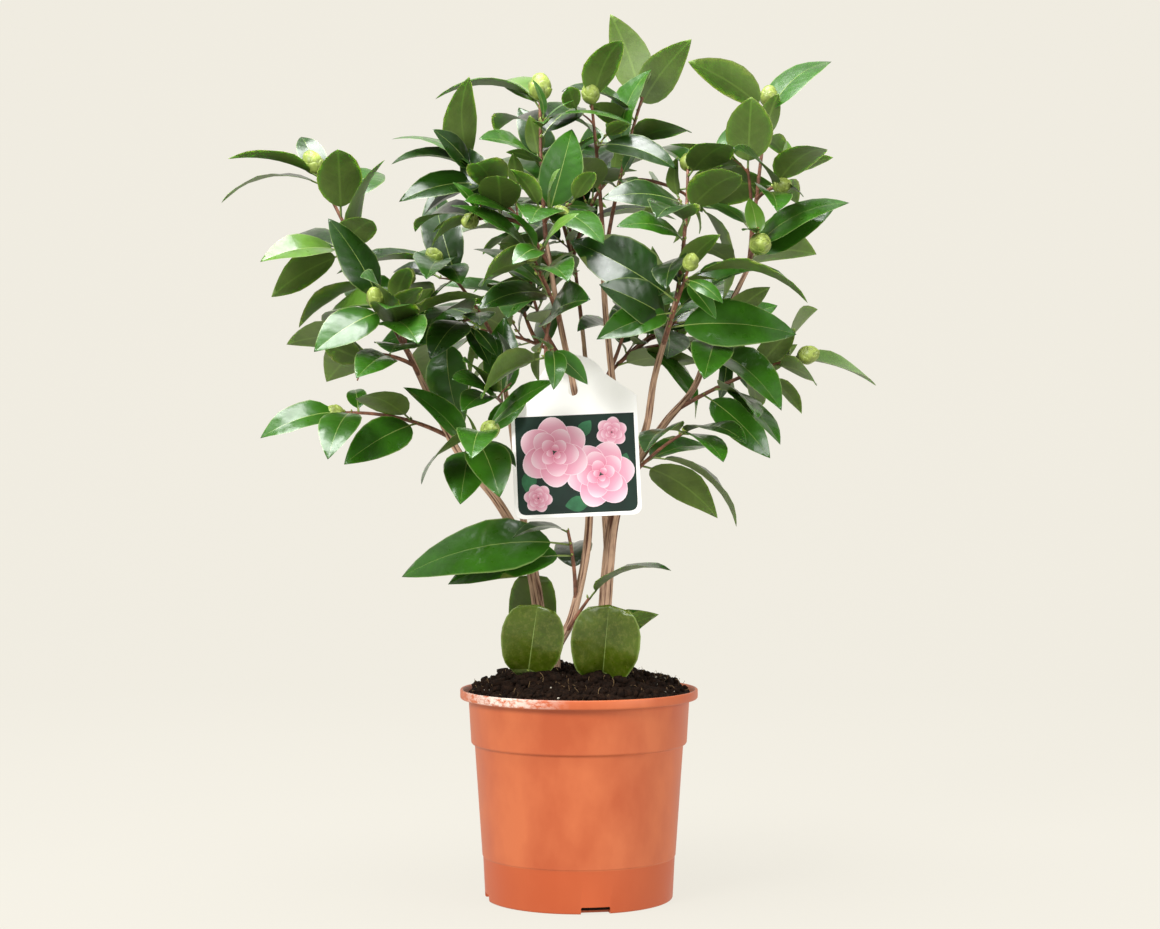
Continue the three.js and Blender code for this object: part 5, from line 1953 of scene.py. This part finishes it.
def bend(start, control, end, steps):
    """Places on a curve from a start to an end, drawn towards a control, without the start."""
    result = []
    for i in range(1, steps + 1):
        t = i / steps
        place = [a * (1 - t) ** 2 + b * 2 * t * (1 - t) + c * t**2 for a, b, c in zip(start, control, end)]
        result.append(tuple(place))
    return result


def card_outline():
    """The label's outline: square at the foot with rounded corners, and domed at the head."""
    wide, foot, corner = LABEL["half_width"], LABEL["bottom"], LABEL["corner"]
    dome, steps = LABEL["dome"], LABEL["curve_segments"]
    right = [(wide - corner, foot)]
    right += bend(right[-1], (wide, foot), (wide, foot + corner), steps)
    right += [(wide, LABEL["shoulder"]), (dome["half_width"], dome["foot"])]
    right += bend(right[-1], (dome["fullness"], dome["top"]), (0, dome["top"]), steps)
    left = [(-x, y) for x, y in reversed(right[:-1])]
    return right + left


def slot_outline():
    """The outline of the slot that the stem runs through: straight sides and round ends."""
    slot, steps = LABEL["slot"], LABEL["curve_segments"]
    radius, end = slot["width"] / 2, (slot["length"] - slot["width"]) / 2
    turns = [math.pi * i / steps for i in range(steps + 1)]
    upper = [(radius * math.cos(turn), end + radius * math.sin(turn)) for turn in turns]
    return upper + [(-x, -y) for x, y in upper]


def panel_outline():
    """The outline of the printed ground, with its two lower corners rounded."""
    panel = LABEL["panel"]
    wide, foot, top, corner = panel["half_width"], panel["bottom"], panel["top"], panel["corner"]
    right = [(wide - corner, foot)]
    right += bend(right[-1], (wide, foot), (wide, foot + corner), LABEL["curve_segments"])
    right.append((wide, top))
    return right + [(-x, y) for x, y in reversed(right)]


# The printed blossoms: middle, reach of the outer petals, and turn in degrees.
BLOSSOMS = [((29, -41), 12, 20), ((-31, -91), 11, 50), ((19, -74), 26, 8), ((-17, -55), 27, 33)]
# A printed layer is a sheet this thick, and the next lies this much higher.
PRINT = {"sheet": 0.03, "step": 0.006}
# The rings of petals in a blossom: how many, share of its reach, and turn in degrees.
PETALS = [(6, 1, 0), (5, 0.7, 30), (4, 0.42, 10), (3, 0.22, 40)]
# A petal's corners lie on rings at these shares of the way to its edge. Its tone grows with the way out
# from the blossom's middle, and its edge is palest.
PETAL = {
    "rings": (1, 0.94, 0.7, 0.4),
    "corners": 24,
    "middle": 0.56,
    "long": 0.44,
    "wide": 0.46,
    "blunt": 0.04,
    "tone": 0.85,
}
# The printed leaves: foot, length, and turn in degrees.
PRINT_LEAVES = [((-40, -86), 19, 75), ((2, -44), 17, 50), ((40, -58), 16, 250), ((-10, -98), 20, 8)]
# A printed leaf's corners, and its width as shares of its length: a belly, and the rest of its outline.
PRINT_LEAF = {"corners": 16, "belly": 0.2, "width": 0.12}


def turned_aside(middle, out, aside, turn):
    """The place that lies out from a middle in the direction of a turn, and aside from that."""
    x = middle[0] + out * math.cos(turn) - aside * math.sin(turn)
    return x, middle[1] + out * math.sin(turn) + aside * math.cos(turn)


def petal_rings(middle, reach, turn):
    """A petal's corners ring by ring, each with its tone: 0 at the blossom's middle, 1 at the edge."""
    count = PETAL["corners"]
    for share in PETAL["rings"]:
        for i in range(count):
            around = math.tau * i / count
            length = PETAL["long"] * math.cos(around) + PETAL["blunt"] * math.cos(2 * around)
            out = PETAL["middle"] + share * length
            aside = PETAL["wide"] * share * math.sin(around)
            tone = 1.0 if share == 1 else PETAL["tone"] * out
            yield *turned_aside(middle, reach * out, reach * aside, turn), tone


def blossoms_mesh(name, height):
    """All the printed petals as thin closed sheets, each laid a trace higher than the last."""
    corners, faces, tones = [], [], []
    count, rings = PETAL["corners"], len(PETAL["rings"])
    for middle, reach, degrees in BLOSSOMS:
        for petals, part, twist in PETALS:
            for k in range(petals):
                turn = math.radians(degrees + twist + 360 * k / petals)
                start = len(corners)
                made = list(petal_rings(middle, reach * part, turn))
                corners += [(x, y, height - PRINT["sheet"]) for x, y, _ in made[:count]]
                corners += [(x, y, height) for x, y, _ in made]
                tones += [tone for _, _, tone in made[:count] + made]
                for ring in range(rings):
                    for i in range(count):
                        a, b = start + ring * count + i, start + ring * count + (i + 1) % count
                        faces.append((a, b, b + count, a + count))
                faces.append(tuple(reversed(range(start, start + count))))
                faces.append(tuple(range(start + rings * count, start + (rings + 1) * count)))
                height += PRINT["step"]
    mesh = bpy.data.meshes.new(name)
    mesh.from_pydata([tuple(part * MM for part in corner) for corner in corners], [], faces)
    mesh.attributes.new("petal_tone", "FLOAT", "POINT").data.foreach_set("value", tones)
    return mesh


def print_leaf_outline(foot, length, turn):
    """The outline of a printed leaf, pointed at both ends."""
    for i in range(PRINT_LEAF["corners"]):
        around = math.tau * i / PRINT_LEAF["corners"]
        out = length * (0.5 - 0.5 * math.cos(around))
        belly = length * PRINT_LEAF["belly"] * math.sin(around) ** 3
        aside = belly + length * PRINT_LEAF["width"] * math.sin(around)
        yield turned_aside(foot, out, aside, turn)


def label_layers():
    """The plain printed shapes on the card, back to front: outline, finish number."""
    yield panel_outline(), 1
    for foot, length, turn in PRINT_LEAVES:
        yield list(print_leaf_outline(foot, length, math.radians(turn))), 2


def build_label(settings):
    """The plant label: a coated card with a domed head, and a printed group of plain blossoms."""
    card = bmesh.new()
    thickness = LABEL["thickness"]
    parts = [(flat_shape("card", [card_outline(), slot_outline()], thickness, LABEL["edge"]), 0, 0)]
    height = thickness / 2 + PRINT["sheet"] / 2
    for outline, number in label_layers():
        height += PRINT["step"]
        parts.append((flat_shape("print", [outline], PRINT["sheet"]), number, height))
    for mesh, number, height in parts:
        start = len(card.faces)
        mesh.transform(Matrix.Translation((0, 0, height * MM)))
        card.from_mesh(mesh)
        card.faces.ensure_lookup_table()
        for face in card.faces[start:]:
            face.material_index = number
        bpy.data.meshes.remove(mesh)
    mesh = bpy.data.meshes.new("plant_label")
    card.to_mesh(mesh)
    card.free()
    for finish in (
        coated_print("coated_white_card", settings.card, 0.02, 30),
        coated_print("printed_dark_green", settings.panel, 0.35, 16),
        coated_print("printed_leaf_green", linear("#2f6a45"), 0.3, 8),
    ):
        mesh.materials.append(finish)
    blossoms = blossoms_mesh("label_blossoms", height + PRINT["sheet"])
    blossoms.materials.append(printed_petals(settings.petal))
    upright = turned_about("X", math.radians(90 - LABEL["lean"]))
    stand = upright @ turned_about("Z", math.radians(LABEL["turn"]))
    hung = Matrix.Translation([part * MM for part in LABEL["hole"]]) @ stand.to_4x4()
    for name, sheet in (("plant_label", mesh), ("label_blossoms", blossoms)):
        sheet.transform(hung)
        settle(new_piece(name, sheet), "label", "label")


# The stage, in metres: the floor and backdrop's section as (y, z) places, its half width and how
# strongly it glows, and each light's place, breadth and power beside the key light's setting.
BACKDROP = {
    "profile": [(-2.5, 0), (1.6, 0), (2.0, 0.06), (2.35, 0.24), (2.6, 0.6), (2.66, 1.2), (2.66, 3.2)],
    "half_width": 4,
    "glow": 0.92,
}
LIGHTS = {
    "key_light": ((-1.5, -2.1, 1.7), 1.1, 1),
    "fill_light": ((2.2, -1.6, 1.0), 1.4, 0.45),
    "top_light": ((-0.3, -0.2, 2.3), 1.5, 1.1),
}
# The place that the lights face, in metres, and the even light of the room round them.
LIT_PLACE = (0, 0, 0.35)
ROOM = {"colour": "#f4f2ea", "strength": 0.5}
# How far the camera stands aside in metres and looks down in degrees, and its sensor in millimetres.
CAMERA = {"aside": 0.0008, "down": 0.42, "sensor": 36}


# Backdrop paper: it glows evenly and hardly takes the lights, so that no shadow or bright pool shows.
def matt_backdrop_paper(colour):
    finish, tree, place = start_finish("matt_backdrop_paper")
    inputs = {"Vector": place, "Scale": 1 / (400 * MM), "Detail": 2, "Roughness": 0.55}
    cloud = add_node(tree, "ShaderNodeTexNoise", inputs=inputs)
    tones = {"Factor": cloud, FIRST: shaded(colour, 0.046), SECOND: shaded(colour, 0.05)}
    return end_finish(
        finish,
        {
            "Base Color": add_node(tree, "ShaderNodeMix", MIX_COLOURS, tones),
            "Emission Color": shaded(colour, 1),
            "Emission Strength": BACKDROP["glow"],
            "Roughness": 1.0,
            "Specular IOR Level": 0.0,
        },
    )


def build_stage(settings):
    """A pale floor that sweeps up into a backdrop, soft lights, and the camera at the viewer's eye."""
    profile, half_width = BACKDROP["profile"], BACKDROP["half_width"]
    corners = [(x, y, z) for y, z in profile for x in (-half_width, half_width)]
    faces = [(2 * i, 2 * i + 1, 2 * i + 3, 2 * i + 2) for i in range(len(profile) - 1)]
    mesh = bpy.data.meshes.new("backdrop")
    mesh.from_pydata(corners, [], faces)
    mesh.shade_smooth()
    mesh.materials.append(matt_backdrop_paper(settings.backdrop))
    new_piece("backdrop", mesh)

    world = bpy.data.worlds.new("soft_room")
    world.use_nodes = True
    background = world.node_tree.nodes["Background"]
    background.inputs["Color"].default_value = linear(ROOM["colour"])
    background.inputs["Strength"].default_value = ROOM["strength"]
    bpy.context.scene.world = world
    for name, (place, size, power) in LIGHTS.items():
        light = bpy.data.lights.new(name, "AREA")
        light.shape = "DISK"
        light.size = size
        light.energy = settings.key_power * power
        lamp = new_piece(name, light)
        lamp.location = place
        towards = Vector(LIT_PLACE) - Vector(place)
        lamp.rotation_euler = towards.to_track_quat("-Z", "Y").to_euler()
    camera = bpy.data.cameras.new("front_camera")
    camera.lens = settings.lens
    camera.sensor_width = CAMERA["sensor"]
    viewer = new_piece("front_camera", camera)
    viewer.location = (CAMERA["aside"], -settings.camera_distance, EYE["height"] * MM)
    viewer.rotation_euler = (math.radians(90 - CAMERA["down"]), 0, 0)
    bpy.context.scene.camera = viewer
    bpy.context.scene.view_settings.view_transform = "Standard"


class CAMELLIA_OT_pot(bpy.types.Operator):
    """Makes the moulded pot"""

    bl_idname = "camellia.pot"
    bl_label = "Pot"

    def execute(self, context):
        build_pot(context.scene.camellia_container)
        return {"FINISHED"}


class CAMELLIA_OT_soil(bpy.types.Operator):
    """Fills the pot with potting soil"""

    bl_idname = "camellia.soil"
    bl_label = "Soil"

    def execute(self, context):
        build_soil(context.scene.camellia_container)
        return {"FINISHED"}


class CAMELLIA_OT_limbs(bpy.types.Operator):
    """Grows the stems and boughs with their bark"""

    bl_idname = "camellia.limbs"
    bl_label = "Stems and boughs"

    def execute(self, context):
        build_limbs(context.scene.camellia_plant)
        return {"FINISHED"}


class CAMELLIA_OT_foliage(bpy.types.Operator):
    """Grows the twigs, leaves and buds from the limbs"""

    bl_idname = "camellia.foliage"
    bl_label = "Foliage"

    def execute(self, context):
        build_foliage(context.scene.camellia_plant)
        return {"FINISHED"}


class CAMELLIA_OT_label(bpy.types.Operator):
    """Hangs the plant label on the middle stem"""

    bl_idname = "camellia.label"
    bl_label = "Plant label"

    def execute(self, context):
        build_label(context.scene.camellia_container)
        return {"FINISHED"}


class CAMELLIA_OT_stage(bpy.types.Operator):
    """Sets up the floor, the backdrop, the lights and the camera"""

    bl_idname = "camellia.stage"
    bl_label = "Stage"

    def execute(self, context):
        build_stage(context.scene.camellia_stage)
        return {"FINISHED"}


OPERATORS = (
    CAMELLIA_OT_stage,
    CAMELLIA_OT_pot,
    CAMELLIA_OT_soil,
    CAMELLIA_OT_limbs,
    CAMELLIA_OT_foliage,
    CAMELLIA_OT_label,
)


class CAMELLIA_PT_panel(bpy.types.Panel):
    """Lists the pieces of the potted camellia with their sizes and colours"""

    bl_idname = "CAMELLIA_PT_panel"
    bl_label = "Camellia in a pot"
    bl_space_type = "VIEW_3D"
    bl_region_type = "UI"
    bl_category = "Camellia"

    def draw(self, context):
        for group in SETTINGS:
            settings = getattr(context.scene, group)
            box = self.layout.box()
            for name in settings.__annotations__:
                box.prop(settings, name)
        for operator in OPERATORS:
            self.layout.operator(operator.bl_idname)


SETTINGS = {
    "camellia_plant": CAMELLIA_PG_plant,
    "camellia_container": CAMELLIA_PG_container,
    "camellia_stage": CAMELLIA_PG_stage,
}


def register():
    for kind in (*SETTINGS.values(), *OPERATORS, CAMELLIA_PT_panel):
        bpy.utils.register_class(kind)
    for name, group in SETTINGS.items():
        setattr(bpy.types.Scene, name, PointerProperty(type=group))


def unregister():
    for name in SETTINGS:
        delattr(bpy.types.Scene, name)
    for kind in (CAMELLIA_PT_panel, *reversed(OPERATORS), *reversed(SETTINGS.values())):
        bpy.utils.unregister_class(kind)


def main():
    register()
    for operator in OPERATORS:
        family, name = operator.bl_idname.split(".")
        getattr(getattr(bpy.ops, family), name)()


if __name__ == "__main__":
    main()
